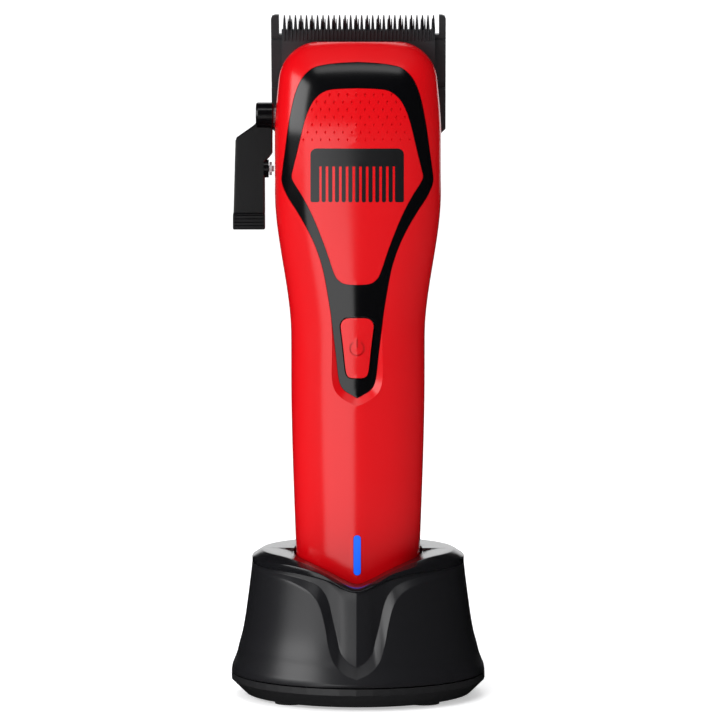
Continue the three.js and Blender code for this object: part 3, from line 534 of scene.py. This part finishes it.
# %% The stand's feature lines, as height against distance from the middle
SIDE_X = 27.6
wall_profile = [
    (33.2, 6.25), (33.3, 7), (32.5, 9), (31.7, 11.1), (31.2, 13.2), (30.1, 17.4), (29.1, 23.7),
    (27.8, 34), (27.6, 38.3),
]
v_outer = [
    (0, 8.3), (1.4, 8.9), (3.0, 9.8), (5.3, 12.4), (6.8, 16.5), (7.9, 21.6), (9.2, 26.0),
    (10.8, 28.7), (13.5, 30.7), (19.2, 32.6), (SIDE_X, 33.6),
]
v_inner = [
    (0, 11.3), (1.0, 11.7), (2.6, 12.9), (4.1, 15.0), (5.1, 18.4), (6.4, 22.8), (7.6, 26.9),
    (9.2, 29.8), (12.0, 32.0), (18.2, 33.6), (SIDE_X, 34.2),
]
rim_low = [
    (0, 30.0), (1.6, 30.2), (4, 30.9), (6.4, 31.9), (10.6, 33.3), (16.3, 34.3), (21.1, 34.6),
    (SIDE_X, 34.7),
]
rim_middle = [
    (0, 30.4), (1.6, 30.6), (4, 31.5), (6.4, 32.7), (10.6, 34.8), (16.3, 36.1), (21.1, 36.5),
    (SIDE_X, 36.6),
]
rim_top = [
    (0, 31.1), (1.6, 31.4), (4.4, 32.7), (8.7, 34.8), (13.5, 36.7), (17.5, 37.8), (21.5, 38.25),
    (SIDE_X, 38.3),
]
v_depth = [(0, 0.8), (3, 1.35), (6, 1.9), (8.5, 2.1), (12, 1.6), (18, 0.9), (24, 0.4), (SIDE_X, 0.0)]


def line(points):
    """The height of a feature line at any distance from the middle."""
    curve = through(points)
    return lambda x: np.interp(np.abs(x), curve[:, 0], curve[:, 1])


wall_curve = through(wall_profile)
wall_radius = lambda z: np.interp(z, wall_curve[:, 1], wall_curve[:, 0])


# %% One profile of the stand for each direction round it
def socket_radius(direction, grow):
    """How far the clipper's section reaches in a direction, at the rim."""
    turn = np.linspace(0, 1, 2001)
    x, y = section(turn, np.float64(34.0), grow)
    angle = np.arctan2(x, -y)
    order = np.argsort(angle)
    return np.interp(direction, angle[order], np.hypot(x, y)[order], period=2 * np.pi)


def soften(profile, radius, steps=3):
    """Rounds each inner corner of a profile, shape (points, columns, 2), with a small curve."""
    rounded = [profile[:1]]
    for before, corner, after in zip(profile, profile[1:], profile[2:]):
        ends = []
        for other in (before, after):
            length = np.linalg.norm(other - corner, axis=-1, keepdims=True) + 1e-9
            ends.append(corner + (other - corner) * np.minimum(radius / length, 0.45))
        for t in np.linspace(0, 1, steps):
            rounded.append(((1 - t) ** 2 * ends[0] + 2 * t * (1 - t) * corner + t**2 * ends[1])[None])
    return np.vstack([*rounded, profile[-1:]])


def stand_rings():
    front = np.linspace(-1.15, 1.15, 520)
    rear = np.linspace(1.15, 2 * np.pi - 1.15, 202)[1:-1]
    direction = np.concatenate([front, rear])
    ahead = np.cos(direction) > 0
    x = np.where(ahead, np.abs(np.sin(direction)) * 28.6, SIDE_X)
    x = np.minimum(x, SIDE_X)
    point = lambda r, z: np.column_stack([r, z])
    level = lambda z: np.full(len(x), float(z))
    v0, v1, low, middle = (line(p)(x) for p in (v_outer, v_inner, rim_low, rim_middle))
    sunk = line(v_depth)(x)
    r_sunk_low = wall_radius(v1) - sunk
    r_sunk_top = wall_radius(low) - sunk
    r_rim = np.minimum(27.7, r_sunk_top + 0.35)
    socket = socket_radius(direction, 0.7)
    side_reach = lambda r: np.minimum(r * np.abs(np.sin(direction)), SIDE_X)
    top_at = lambda r: line(rim_top)(np.where(ahead, side_reach(r), SIDE_X))
    r_edge = np.maximum(r_rim - 0.9 - 1.6 * ease(x, 2, 12), socket + 0.8)
    corner_points = [
        point(level(STAND_INNER_R), level(6.25)),
        point(level(33.2), level(6.25)),
        point(wall_radius(level(9.5)), level(7.6)),
        point(wall_radius(v0), v0),
        point(r_sunk_low, v1),
        point(r_sunk_top, low),
        point(r_rim, low + 0.12),
        point(r_rim, middle),
        point(r_edge, top_at(r_edge)),
        point(socket, top_at(socket)),
        point(socket, level(21.5)),
        point(socket * 0.9, level(19.5)),
    ]
    return direction, x, v0, corner_points, top_at, socket


# %% Build the stand
STAND_INNER_R = 30.6


def build_stand():
    direction, x, v0, corner, top_at, socket = stand_rings()
    level = lambda z: np.full(len(x), float(z))
    profile = []
    profile.append(corner[0])
    profile.append(corner[1])
    for share in np.linspace(0, 1, 26)[1:-1]:
        z = 6.9 + (v0 - 6.9) * share
        profile.append(np.column_stack([wall_radius(z), z]))
    profile += corner[3:5]
    for share in np.linspace(0, 1, 8)[1:-1]:
        profile.append(corner[4] * (1 - share) + corner[5] * share)
    wall_rows = len(profile)
    profile += corner[5:9]
    for share in (0.25, 0.5, 0.75):
        r = corner[8][:, 0] * (1 - share) + corner[9][:, 0] * share
        profile.append(np.column_stack([r, top_at(r)]))
    profile += corner[9:12]
    floor_under = [
        np.column_stack([socket * 0.9, level(17.7)]),
        np.column_stack([socket + 1.6, level(18.2)]),
        np.column_stack([socket + 1.6, top_at(socket) - 2.6]),
    ]
    inner_r = np.minimum(level(25.0), corner[5][:, 0] - 1.6)
    inner_z = np.minimum(top_at(inner_r) - 2.6, corner[5][:, 1] - 1.5)
    under = [np.column_stack([inner_r, inner_z]), np.column_stack([level(STAND_INNER_R), level(9.0)])]
    upper = soften(np.stack(profile), 0.22)
    rim_from = 1 + 3 * (wall_rows - 1) + 4
    lower = np.stack([*floor_under, *under])
    to_xyz = lambda rows: np.stack(
        [rows[..., 0] * np.sin(direction), -rows[..., 0] * np.cos(direction), rows[..., 1]], -1
    )
    up, down = to_xyz(upper), to_xyz(lower)
    rows, columns = up.shape[:2]
    vertices = np.vstack([up.reshape(-1, 3), down.reshape(-1, 3), [[0, 0, 19.5], [0, 0, 17.7]]]) * MM
    faces, rim = [], []
    across = np.arange(columns)
    beside = np.roll(across, -1)

    def join(a, b, is_rim):
        for i, j in zip(across, beside):
            faces.append((a + i, a + j, b + j, b + i))
            rim.append(is_rim)

    for i in range(rows - 1):
        join(i * columns, (i + 1) * columns, rim_from <= i)
    start = rows * columns
    for i in range(len(lower) - 1):
        join(start + i * columns, start + (i + 1) * columns, False)
    join(start + (len(lower) - 1) * columns, 0, False)
    floor_pole, under_pole = len(vertices) - 2, len(vertices) - 1
    last_up = (rows - 1) * columns
    for i, j in zip(across, beside):
        faces.append((last_up + i, last_up + j, floor_pole))
        faces.append((start + j, start + i, under_pole))
        rim += [True, False]
    stand = mesh_object("stand_housing", vertices, faces)
    mask = stand.data.attributes.new("rim", "FLOAT", "FACE")
    mask.data.foreach_set("value", np.asarray(rim, np.float32))
    return smooth_shade(stand, 32)


stand = build_stand()
finished(stand, stand_black, "stand", "satin_black", "stand_shell", "stand_cradle", "stand_insert")

# %% [markdown]
# ## The red shell
# Two moulded shells meet along the sides, with an end cap below them. Each is
# a hollow: the outer form less the inner one, less the slanted opening that
# the blade stands in. The black trim lies in a pocket, and round its lower end
# the red slopes down into the pocket like a shallow scoop.

# %% Outlines on the clipper's face
trim_half = through([
    (0, 165.5), (5.2, 165.2), (8.9, 164.7), (11.3, 164.0), (13.05, 162.7), (14.4, 161.0), (15.6, 158.4),
    (16.5, 155.3), (17.6, 149.7), (18.55, 143.0), (19.2, 138.2), (19.5, 135.6), (19.2, 133.8),
    (17.85, 130.9), (15.8, 127.8), (13.6, 124.2), (11.65, 120.5), (9.9, 116.2), (8.5, 111.2),
    (6.97, 102.5), (6.2, 96.5), (5.46, 90.4),
    (4.9, 85.2), (4.3, 82.6), (3.2, 81.1), (1.6, 80.1), (0, 79.2),
], 5)
panel_half = through([
    (0, 158.85), (4.3, 158.7), (7.0, 158.45), (8.8, 157.8), (10.25, 156.7), (11.5, 155.15), (12.8, 152.4),
    (13.85, 149.0), (15.4, 142.5), (16.4, 138.4), (16.85, 136.3), (16.3, 134.7), (14.1, 131.2),
    (12.0, 127.3), (10.1, 123.0), (8.1, 117.8),
    (5.9, 111.4), (4.7, 109.6), (3.0, 108.7), (0, 108.5),
], 5)
button_half = through([
    (0, 99.9), (2.2, 99.85), (3.3, 99.5), (4.05, 98.6), (4.2, 97.4), (3.9, 95), (3.5, 91.5), (3.1, 87.8),
    (2.85, 86.0), (2.4, 84.9), (1.5, 84.45), (0, 84.4),
], 5)
LIGHT_R, LIGHT_HIGH, LIGHT_LOW = 0.9, 42.7, 34.1


def round_end(z, start, end):
    return [(LIGHT_R * math.cos(a), z + LIGHT_R * math.sin(a)) for a in np.linspace(start, end, 9)]


light_half = np.array(round_end(LIGHT_HIGH, math.pi / 2, 0) + round_end(LIGHT_LOW, 0, -math.pi / 2))
face_outline = {"trim": trim_half, "panel": panel_half, "button": button_half, "light": light_half}


def outline_of(name, grow=0.0):
    """A closed outline on the face, grown outwards by a distance."""
    points = mirror_outline(face_outline[name])
    if not grow:
        return points
    along = np.roll(points, -1, 0) - np.roll(points, 1, 0)
    normal = np.column_stack([-along[:, 1], along[:, 0]])
    normal /= np.linalg.norm(normal, axis=1, keepdims=True)
    return points + normal * grow


def face_prism(name, grow=0.0, y=(-40, 0)):
    return prism(name, outline_of(name, grow), y)


# %% The scoop round the trim's lower end
SCOOP_WIDTH, SCOOP_DEPTH = 1.9, 1.1
SKIN = 0.62
scoop_share = lambda z: 1 - ease(z, 80, 101)


def trim_sink(x, z):
    """How far the trim lies below the shell's surface."""
    return 0.12 + SCOOP_DEPTH * scoop_share(z)


def scoop():
    """Opens the trim's pocket outwards where the red slopes down to it."""
    base = outline_of("trim", 0.12)
    points = mirror_outline(face_outline["trim"])
    share = scoop_share(points[:, 1])
    wide = outline_of("trim", 1.0) - points
    lip = base + wide * (SCOOP_WIDTH * share)[:, None]
    surface = lambda p: face_y(p[:, 0], p[:, 1])
    ring = lambda p, y: np.column_stack([p[:, 0], y, p[:, 1]])
    depth = trim_sink(0, points[:, 1])
    over = lip + wide * (0.6 * share)[:, None]
    rings = [
        ring(base, np.full(len(base), -6.0)),
        ring(base, surface(base) + depth),
        ring(lip, surface(lip) - 0.02),
        ring(over, surface(lip) - 0.4),
        ring(over, np.full(len(base), -30.0)),
    ]
    n = len(base)
    faces = [list(range(n)), list(range(5 * n - 1, 4 * n - 1, -1))]
    for row in range(4):
        for i in range(n):
            a, b = row * n + i, row * n + (i + 1) % n
            faces.append([a, b, b + n, a + n])
    return outward(mesh_object("scoop", np.vstack(rings) * MM, faces))


# %% [markdown]
# The blade stands in a frame of its own, leaning forward by 14 degrees. The
# same frame cuts the shell's opening and later places the blade's pieces.

# %% The blade's frame
BLADE_LEAN = math.radians(14)
BLADE_LENGTH, BLADE_THICK = 32.5, 2.4
lean = Matrix.Rotation(BLADE_LEAN, 4, "X")
tip = lean @ Vector((0, BLADE_THICK, BLADE_LENGTH))
blade_frame = Matrix.Translation(Vector((0, 7 - tip.y, 178 - tip.z)) * MM) @ lean


def on_blade(thing):
    thing.data.transform(blade_frame)
    return thing


# %% Build the shells
def hollow_form(name, grow=0.0):
    return carve(form(name, grow), form("cavity", -WALL, 72, 50))


def shell(name, y):
    body = hollow_form(name)
    carve(body, on_blade(brick("opening", (-60, 60), (-3.1, 60), (-0.5, 60))))
    return carve(body, brick("half", (-40, 40), y, (CAP_TOP + GAP / 2, 200)), how="INTERSECT")


def circle(radius, sides):
    angle = np.arange(sides) / sides * 2 * np.pi
    return radius * np.cos(angle), radius * np.sin(angle)


def rod_along_x(name, radius, x, y, z, sides=48):
    across, up = circle(radius, sides)
    rings = [np.column_stack([np.full(sides, v), y + across, z + up]) for v in x]
    return outward(stack_of_rings(name, rings))


def rod_along_y(name, radius, x, y, z, sides=48):
    across, up = circle(radius, sides)
    rings = [np.column_stack([x + across, np.full(sides, v), z + up]) for v in y]
    return outward(stack_of_rings(name, rings))


PARTING_Y, LEVER_Y, LEVER_Z, PLUNGER_Z = 2.0, 2.0, 151.4, 137.6
front = shell("front_case", (-40, PARTING_Y - GAP / 2))
pocket_sink = lambda x, z: trim_sink(x, z) + SKIN + 0.05
carve(front, carve(scoop(), form("pocket_floor", sink=pocket_sink)))
carve(front, face_prism("button", 0.32))
carve(front, rod_along_x("lever_hole", 2.3, (-40, -14), LEVER_Y, LEVER_Z))
carve(front, face_prism("light", 0.12))
rear = shell("rear_case", (PARTING_Y + GAP / 2, 40))
carve(rear, rod_along_x("lever_hole", 2.3, (-40, -14), LEVER_Y, LEVER_Z))
SCREW_WELLS = ((-11.8, 38, 8.2), (11.8, 38, 8.2), (-14.6, 127, 9.8), (14.6, 127, 9.8))
for x, z, floor_y in SCREW_WELLS:
    carve(rear, rod_along_y("screw_well", 2.4, x, (floor_y, 40), z))
below_parting = brick("low", (-40, 40), (-40, 40), (0, CAP_TOP - GAP / 2))
cap = carve(hollow_form("end_cup"), below_parting, how="INTERSECT")
for thing in (front, rear, cap):
    smooth_shade(thing, 30)
finished(front, red_shell, "clipper", "red_shell", "front_shell")
finished(rear, red_shell, "clipper", "red_shell", "rear_shell")
finished(cap, cap_black, "clipper", "satin_black", "end_cap")

# %% [markdown]
# ## Trim, panel, button and light
# All four are slices of the same form. The trim frames the panel and the
# button; the panel is let in flush; the button stands a hair proud.


# %% Build the pieces on the face
def face_slice(name, outline, sink, thickness, grow=0.0):
    """A skin of the form, sunk by sink(x, z), cut to an outline."""
    deeper = lambda x, z: sink(x, z) + thickness
    skin = carve(form(name, sink=sink), form("below", sink=deeper))
    return carve(skin, face_prism(outline, grow, (-40, -4)), how="INTERSECT")


trim = face_slice("face_frame", "trim", trim_sink, SKIN)
carve(trim, face_prism("panel", 0.1), face_prism("button", 0.32))
smooth_shade(trim, 24)
finished(trim, trim_gloss, "clipper", "gloss_black", "face_trim")

panel = face_slice("grip_panel", "panel", lambda x, z: 0.12 + 0 * z, SKIN)
button = face_slice("switch_button", "button", lambda x, z: 0.55 * scoop_share(z) + 0 * z, 1.6)
finished(smooth_shade(button, 24), red_shell, "button", "red_shell", "power_button")
lamp_bar = face_slice("status_bar", "light", lambda x, z: 0.05 + 0 * z, 2.6)
finished(smooth_shade(lamp_bar, 30), status_blue, "clipper", "light", "status_light")
finished(smooth_shade(panel, 24), red_shell, "clipper", "red_shell", "face_panel")

# %% [markdown]
# ## The panel's pits
# The panel carries a field of small diamond pits for grip. Geometry Nodes set
# one sunk diamond at each point of the field; the larger ones are at the top.
# Cutting them out of the panel in one go leaves real hollows.


# %% A tree that repeats an item at points
def new_tree(name, *inputs):
    tree = bpy.data.node_groups.new(name, "GeometryNodeTree")
    tree.interface.new_socket("Geometry", in_out="INPUT", socket_type="NodeSocketGeometry")
    for label, kind in inputs:
        tree.interface.new_socket(label, in_out="INPUT", socket_type="NodeSocket" + kind)
    tree.interface.new_socket("Geometry", in_out="OUTPUT", socket_type="NodeSocketGeometry")
    return tree, tree.nodes.new("NodeGroupInput"), tree.nodes.new("NodeGroupOutput")


def repeat_tree():
    """Sets Item at every point, as large as the point's own size says."""
    inputs = ("Item", "Object"), ("Size", "Float"), ("Finish", "Material")
    tree, start, end = new_tree("item_at_points", *inputs)
    link = tree.links.new
    item = tree.nodes.new("GeometryNodeObjectInfo")
    link(start.outputs["Item"], item.inputs["Object"])
    size = tree.nodes.new("GeometryNodeInputNamedAttribute")
    size.inputs["Name"].default_value = "size"
    scaled = tree.nodes.new("ShaderNodeMath")
    scaled.operation = "MULTIPLY"
    link(size.outputs["Attribute"], scaled.inputs[0])
    link(start.outputs["Size"], scaled.inputs[1])
    placed = tree.nodes.new("GeometryNodeInstanceOnPoints")
    link(start.outputs["Geometry"], placed.inputs["Points"])
    link(item.outputs["Geometry"], placed.inputs["Instance"])
    link(scaled.outputs[0], placed.inputs["Scale"])
    realised = tree.nodes.new("GeometryNodeRealizeInstances")
    link(placed.outputs["Instances"], realised.inputs["Geometry"])
    coloured = tree.nodes.new("GeometryNodeSetMaterial")
    link(realised.outputs["Geometry"], coloured.inputs["Geometry"])
    link(start.outputs["Finish"], coloured.inputs["Material"])
    link(coloured.outputs["Geometry"], end.inputs["Geometry"])
    return tree


REPEAT = repeat_tree()


def with_nodes(thing, tree, **values):
    """Runs a tree on an object and leaves the plain mesh it makes."""
    modifier = thing.modifiers.new(tree.name, "NODES")
    modifier.node_group = tree
    for socket in tree.interface.items_tree:
        if socket.in_out == "INPUT" and socket.name in values:
            modifier[socket.identifier] = values[socket.name]
    return settled(thing)


def at_points(name, points, sizes, item, finish):
    holder = mesh_object(name, np.asarray(points) * MM, [])
    size = holder.data.attributes.new("size", "FLOAT", "POINT")
    size.data.foreach_set("value", np.asarray(sizes, np.float32))
    with_nodes(holder, REPEAT, Item=item, Size=1.0, Finish=finish.material)
    bpy.data.objects.remove(item)
    return holder


# %% Cut the pits
PIT_ROWS = (157.3, 155.4, 153.5, 151.55, 149.6, 147.65, 145.75)
PIT_PITCH, PIT_MARGIN = 2.28, 0.55


def inside_panel(x, z, margin):
    right = panel_half[panel_half[:, 1] > 138]
    return abs(x) < np.interp(z, right[::-1, 1], right[::-1, 0]) - margin


def sunk_diamond():
    w, h, deep, out = 0.46, 0.88, 0.5, 0.5
    points = [(-w, 0, 0), (0, 0, h), (w, 0, 0), (0, 0, -h), (0, deep, 0), (0, -out, 0)]
    faces = [(a, (a + 1) % 4, 4) for a in range(4)] + [((a + 1) % 4, a, 5) for a in range(4)]
    return outward(mesh_object("sunk_diamond", np.array(points) * MM, faces))


pits, pit_sizes = [], []
for row, z in enumerate(PIT_ROWS):
    first = -0.2 if row % 2 == 0 else 0.94
    for k in range(-8, 9):
        x = first + k * PIT_PITCH
        if inside_panel(x, z, PIT_MARGIN):
            pits.append((x, float(face_y(x, z)) + 0.04, z))
            pit_sizes.append(1.0 - 0.045 * row)
carve(panel, at_points("pit_field", pits, pit_sizes, sunk_diamond(), red_shell))
dress(smooth_shade(panel, 20), red_shell)
print(len(pits), "pits")

# %% [markdown]
# ## Pictograms
# The button has an engraved power sign. The panel carries a plain comb, inlaid
# in black, which says what the tool is for.


# %% Engrave the power sign
def sector(radius, width, start, end, centre):
    """A bent bar: part of a ring, as an outline."""
    angle = np.radians(np.linspace(start, end, 40))
    arc = lambda r: np.column_stack([centre[0] + r * np.sin(angle), centre[1] + r * np.cos(angle)])
    return np.vstack([arc(radius + width / 2), arc(radius - width / 2)[::-1]])


def engrave(thing, outline, floor_sink):
    """Cuts an outline into the face, down to a floor that follows the form."""
    tool = prism("engraving", outline, (-30, -10))
    return carve(thing, carve(tool, form("floor_form", sink=floor_sink)))


POWER_SIGN = (0.0, 92.1)
sign_floor = lambda x, z: 0.55 * scoop_share(z) + 0.45
engrave(button, sector(1.8, 0.32, 32, 328, POWER_SIGN), sign_floor)
bar = np.array([(-0.16, 92.4), (0.16, 92.4), (0.16, 94.5), (-0.16, 94.5)])
engrave(button, bar, sign_floor)
dress(smooth_shade(button, 24), red_shell)


# %% Inlay the comb
def rounded_box(x0, x1, z0, z1, r, steps=6):
    points = []
    corners = (x1 - r, z1 - r, 0), (x1 - r, z0 + r, 90), (x0 + r, z0 + r, 180), (x0 + r, z1 - r, 270)
    for cx, cz, start in corners:
        for a in np.radians(np.linspace(start, start + 90, steps)):
            points.append((cx + r * math.sin(a), cz + r * math.cos(a)))
    return np.array(points)


COMB_TEETH, COMB_LOW, COMB_HIGH, COMB_HALF = 11, 129.7, 143.5, 12.0
mark = prism("comb_mark", rounded_box(-COMB_HALF, COMB_HALF, 138.9, COMB_HIGH, 1.6), (-30, -8))
comb_teeth = [(-COMB_HALF, -COMB_HALF + 2.3), (COMB_HALF - 2.3, COMB_HALF)]
for i in range(COMB_TEETH):
    middle = (i - (COMB_TEETH - 1) / 2) * 1.72
    comb_teeth.append((middle - 0.52, middle + 0.52))
for x0, x1 in comb_teeth:
    tooth = prism("comb_tooth", rounded_box(x0, x1, COMB_LOW, 141.0, 0.5), (-30, -8))
    carve(mark, tooth, how="UNION")
evenly = lambda depth: lambda x, z: depth + 0 * z
inlay = carve(form("inlay", sink=evenly(0.09)), form("under", sink=evenly(0.4)))
carve(mark, inlay, how="INTERSECT")
finished(smooth_shade(mark, 30), mark_black, "clipper", "gloss_black")

# %% [markdown]
# ## The blades
# Two toothed plates slide on each other. A tree lays out each row of teeth
# from one tooth, with the count, pitch and size as its inputs. The cutter's
# teeth run on down its face as ridges, which is where hair is led in.


# %% A tree that lays out a row of teeth
def teeth_tree():
    tree, start, end = new_tree(
        "row_of_teeth", ("Tooth", "Object"), ("Count", "Int"), ("Pitch", "Float"), ("First", "Vector"),
        ("Width", "Float"), ("Finish", "Material"),
    )
    link = tree.links.new
    step = tree.nodes.new("ShaderNodeCombineXYZ")
    link(start.outputs["Pitch"], step.inputs["X"])
    row = tree.nodes.new("GeometryNodeMeshLine")
    link(start.outputs["Count"], row.inputs["Count"])
    link(start.outputs["First"], row.inputs["Start Location"])
    link(step.outputs[0], row.inputs["Offset"])
    tooth = tree.nodes.new("GeometryNodeObjectInfo")
    link(start.outputs["Tooth"], tooth.inputs["Object"])
    width = tree.nodes.new("ShaderNodeCombineXYZ")
    link(start.outputs["Width"], width.inputs["X"])
    for axis in "YZ":
        width.inputs[axis].default_value = 1.0
    placed = tree.nodes.new("GeometryNodeInstanceOnPoints")
    link(row.outputs["Mesh"], placed.inputs["Points"])
    link(tooth.outputs["Geometry"], placed.inputs["Instance"])
    link(width.outputs[0], placed.inputs["Scale"])
    both = tree.nodes.new("GeometryNodeJoinGeometry")
    realised = tree.nodes.new("GeometryNodeRealizeInstances")
    link(placed.outputs["Instances"], realised.inputs["Geometry"])
    link(realised.outputs["Geometry"], both.inputs["Geometry"])
    link(start.outputs["Geometry"], both.inputs["Geometry"])
    coloured = tree.nodes.new("GeometryNodeSetMaterial")
    link(both.outputs["Geometry"], coloured.inputs["Geometry"])
    link(start.outputs["Finish"], coloured.inputs["Material"])
    link(coloured.outputs["Geometry"], end.inputs["Geometry"])
    return tree


TEETH = teeth_tree()


def tooth(name, sections):
    """One tooth, 1 mm wide, from rings (height, half width, back, front) in the blade's frame."""
    rings = []
    for s, half, back, front in sections:
        edge = 0.28 * abs(front - back)
        into = math.copysign(edge, back - front)
        rings.append([(-half, back, s), (-half, front + into, s), (-half * 0.45, front, s),
                      (half * 0.45, front, s), (half, front + into, s), (half, back, s)])
    return outward(stack_of_rings(name, rings))


def with_teeth(plate, tooth_piece, count, pitch, first):
    start = [v * MM for v in first]
    sizes = {"Count": count, "Pitch": pitch * MM, "First": start, "Width": 1.0}
    with_nodes(plate, TEETH, Tooth=tooth_piece, Finish=coated_steel.material, **sizes)
    bpy.data.objects.remove(tooth_piece)
    return plate


# %% The fixed blade
FIXED_PITCH, FIXED_ROOT = 1.44, 27.2
LAND_LEFT, LAND_RIGHT = -20.7, 21.0
fixed_outline = [(-21.0, 0), (21.0, 0), (22.8, 1.8), (22.8, 31.3), (22.5, 32.2), (21.7, 32.5),
                 (LAND_RIGHT, 32.5), (LAND_RIGHT, FIXED_ROOT), (LAND_LEFT, FIXED_ROOT), (LAND_LEFT, 32.5),
                 (-21.7, 32.5), (-22.5, 32.2), (-22.8, 31.3), (-22.8, 1.8)]
fixed = prism("fixed_blade_plate", np.array(fixed_outline, float), (0, BLADE_THICK))


def wedge(name, points, x):
    """A solid from an outline in the blade's n and s, from one x to another."""
    rings = [[(v, n, s) for n, s in points] for v in x]
    return outward(stack_of_rings(name, rings))


FIXED_CUTS = {
    "bevel": [(BLADE_THICK, 22.5), (BLADE_THICK + 2, 22.5), (BLADE_THICK + 2, 34), (0.9, 34)],
    "groove": [(-1, 12.9), (0.55, 12.9), (0.55, 14.5), (-1, 14.5)],
    "step": [(-1, 25.9), (0.4, 25.9), (0.4, 26.4), (0.15, 26.5), (0.15, 34), (-1, 34)],
}
for name, outline in FIXED_CUTS.items():
    carve(fixed, wedge(name, outline, (-30, 30)))
for side in (-9, 9):
    carve(fixed, rod_along_y("screw_hole", 1.7, side, (-5, 9), 4.0, 40))
    carve(fixed, rod_along_y("screw_sink", 2.8, side, (BLADE_THICK - 1.3, 9), 4.0, 48))
fixed_tooth = tooth("fixed_tooth", [
    (0, 0.45, 0.2, 1.7), (1.6, 0.44, 0.2, 1.5), (4.2, 0.26, 0.2, 1.15), (5.25, 0.13, 0.25, 0.8),
])
FIXED_COUNT = int((LAND_RIGHT - LAND_LEFT - 0.5) / FIXED_PITCH)
spare = (LAND_RIGHT - LAND_LEFT - (FIXED_COUNT - 1) * FIXED_PITCH) / 2
with_teeth(fixed, fixed_tooth, FIXED_COUNT, FIXED_PITCH, (LAND_LEFT + spare, 0, FIXED_ROOT - 0.05))
finished(smooth_shade(on_blade(fixed), 25), coated_steel, "clipper", "blade_steel", "fixed_blade")

# %% The cutter
CUTTER_ROOT = 28.9
CUTTER_PITCH, CUTTER_COUNT = 0.963, 41
RIDGE_LOW = 26.2
cutter_outline = [(-19, 8.5), (19, 8.5), (20, 9.5), (20, CUTTER_ROOT), (-20, CUTTER_ROOT), (-20, 9.5)]
cutter = prism("cutter_plate", np.array(cutter_outline, float), (-2.2, -0.2))
cutter_bevel = [(-3, 23.6), (-2.2, 23.6), (-1.25, CUTTER_ROOT + 0.5), (-3, CUTTER_ROOT + 0.5)]
carve(cutter, wedge("bevel", cutter_bevel, (-30, 30)))
carve(cutter, brick("finger_slot", (-1.65, 1.65), (-9, 9), (15.6, 22.4)))
cutter_tooth = tooth("cutter_tooth", [
    (0, 0.24, -0.25, -2.1), (2.7, 0.25, -0.25, -2.05), (4.3, 0.17, -0.25, -1.35), (5.5, 0.08, -0.3, -0.75),
])
first_ridge = -(CUTTER_COUNT - 1) / 2 * CUTTER_PITCH
with_teeth(cutter, cutter_tooth, CUTTER_COUNT, CUTTER_PITCH, (first_ridge, 0, RIDGE_LOW))
finished(smooth_shade(on_blade(cutter), 25), coated_steel, "cutter", "blade_steel", "cutter_blade")

# %% [markdown]
# ## The taper lever
# A bent black lever on a round hub. Its edges are rounded by a Bevel modifier,
# and small ribs under the thumb end keep it from slipping.


# %% The lever
def beveled(thing, width, segments=3, angle=35):
    modifier = thing.modifiers.new("edge", "BEVEL")
    modifier.width, modifier.segments = width * MM, segments
    modifier.limit_method, modifier.angle_limit = "ANGLE", math.radians(angle)
    return settled(thing)


LEVER_OUTLINE = np.array([
    (-22.3, 152.5), (-22.3, 141.6), (-23.1, 140.6), (-24.3, 139.4), (-24.3, 121.8), (-32.6, 121.8),
    (-32.5, 126.2), (-31.95, 145.0), (-31.6, 145.8), (-27.2, 148.9), (-26.5, 149.6), (-26.5, 152.5),
], float)
lever = beveled(prism("lever_arm", LEVER_OUTLINE, (0.5, 3.5)), 0.35)
lip = beveled(brick("lip", (-32.6, -24.3), (-1.1, 3.5), (121.8, 126.1)), 0.3)
carve(lip, *[rod_along_x("rib_gap", 0.28, (-40, -20), -1.2, z, 16) for z in (122.7, 123.6, 124.5, 125.4)])
hub_profile = [(-26.6, 3.0), (-26.45, 3.3), (-26.1, 3.45), (-22.3, 3.45), (-22.0, 3.2)]
HUB_SIDES = 64
hub_rings = []
for x, r in hub_profile:
    across, up = circle(r, HUB_SIDES)
    hub_rings.append(np.column_stack([np.full(HUB_SIDES, x), LEVER_Y + across, LEVER_Z + up]))
hub = outward(stack_of_rings("hub", hub_rings))
ear = rod_along_x("ear", 2.35, (-24.6, -23.3), LEVER_Y, PLUNGER_Z, 32)
carve(lever, lip, hub, ear, how="UNION")
LEVER_HOLES = {
    "shaft_hole": (2.1, (-24.2, 0), LEVER_Z, 48),
    "screw_recess": (2.3, (-40, -25.1), LEVER_Z, 48),
    "screw_way": (1.2, (-40, 0), LEVER_Z, 48),
    "plunger_way": (0.9, (-27.5, 0), PLUNGER_Z, 32),
}
for name, (radius, x, z, sides) in LEVER_HOLES.items():
    carve(lever, rod_along_x(name, radius, x, LEVER_Y, z, sides))
finished(smooth_shade(lever, 14), lever_black, "lever", "black_metal", "taper_lever")
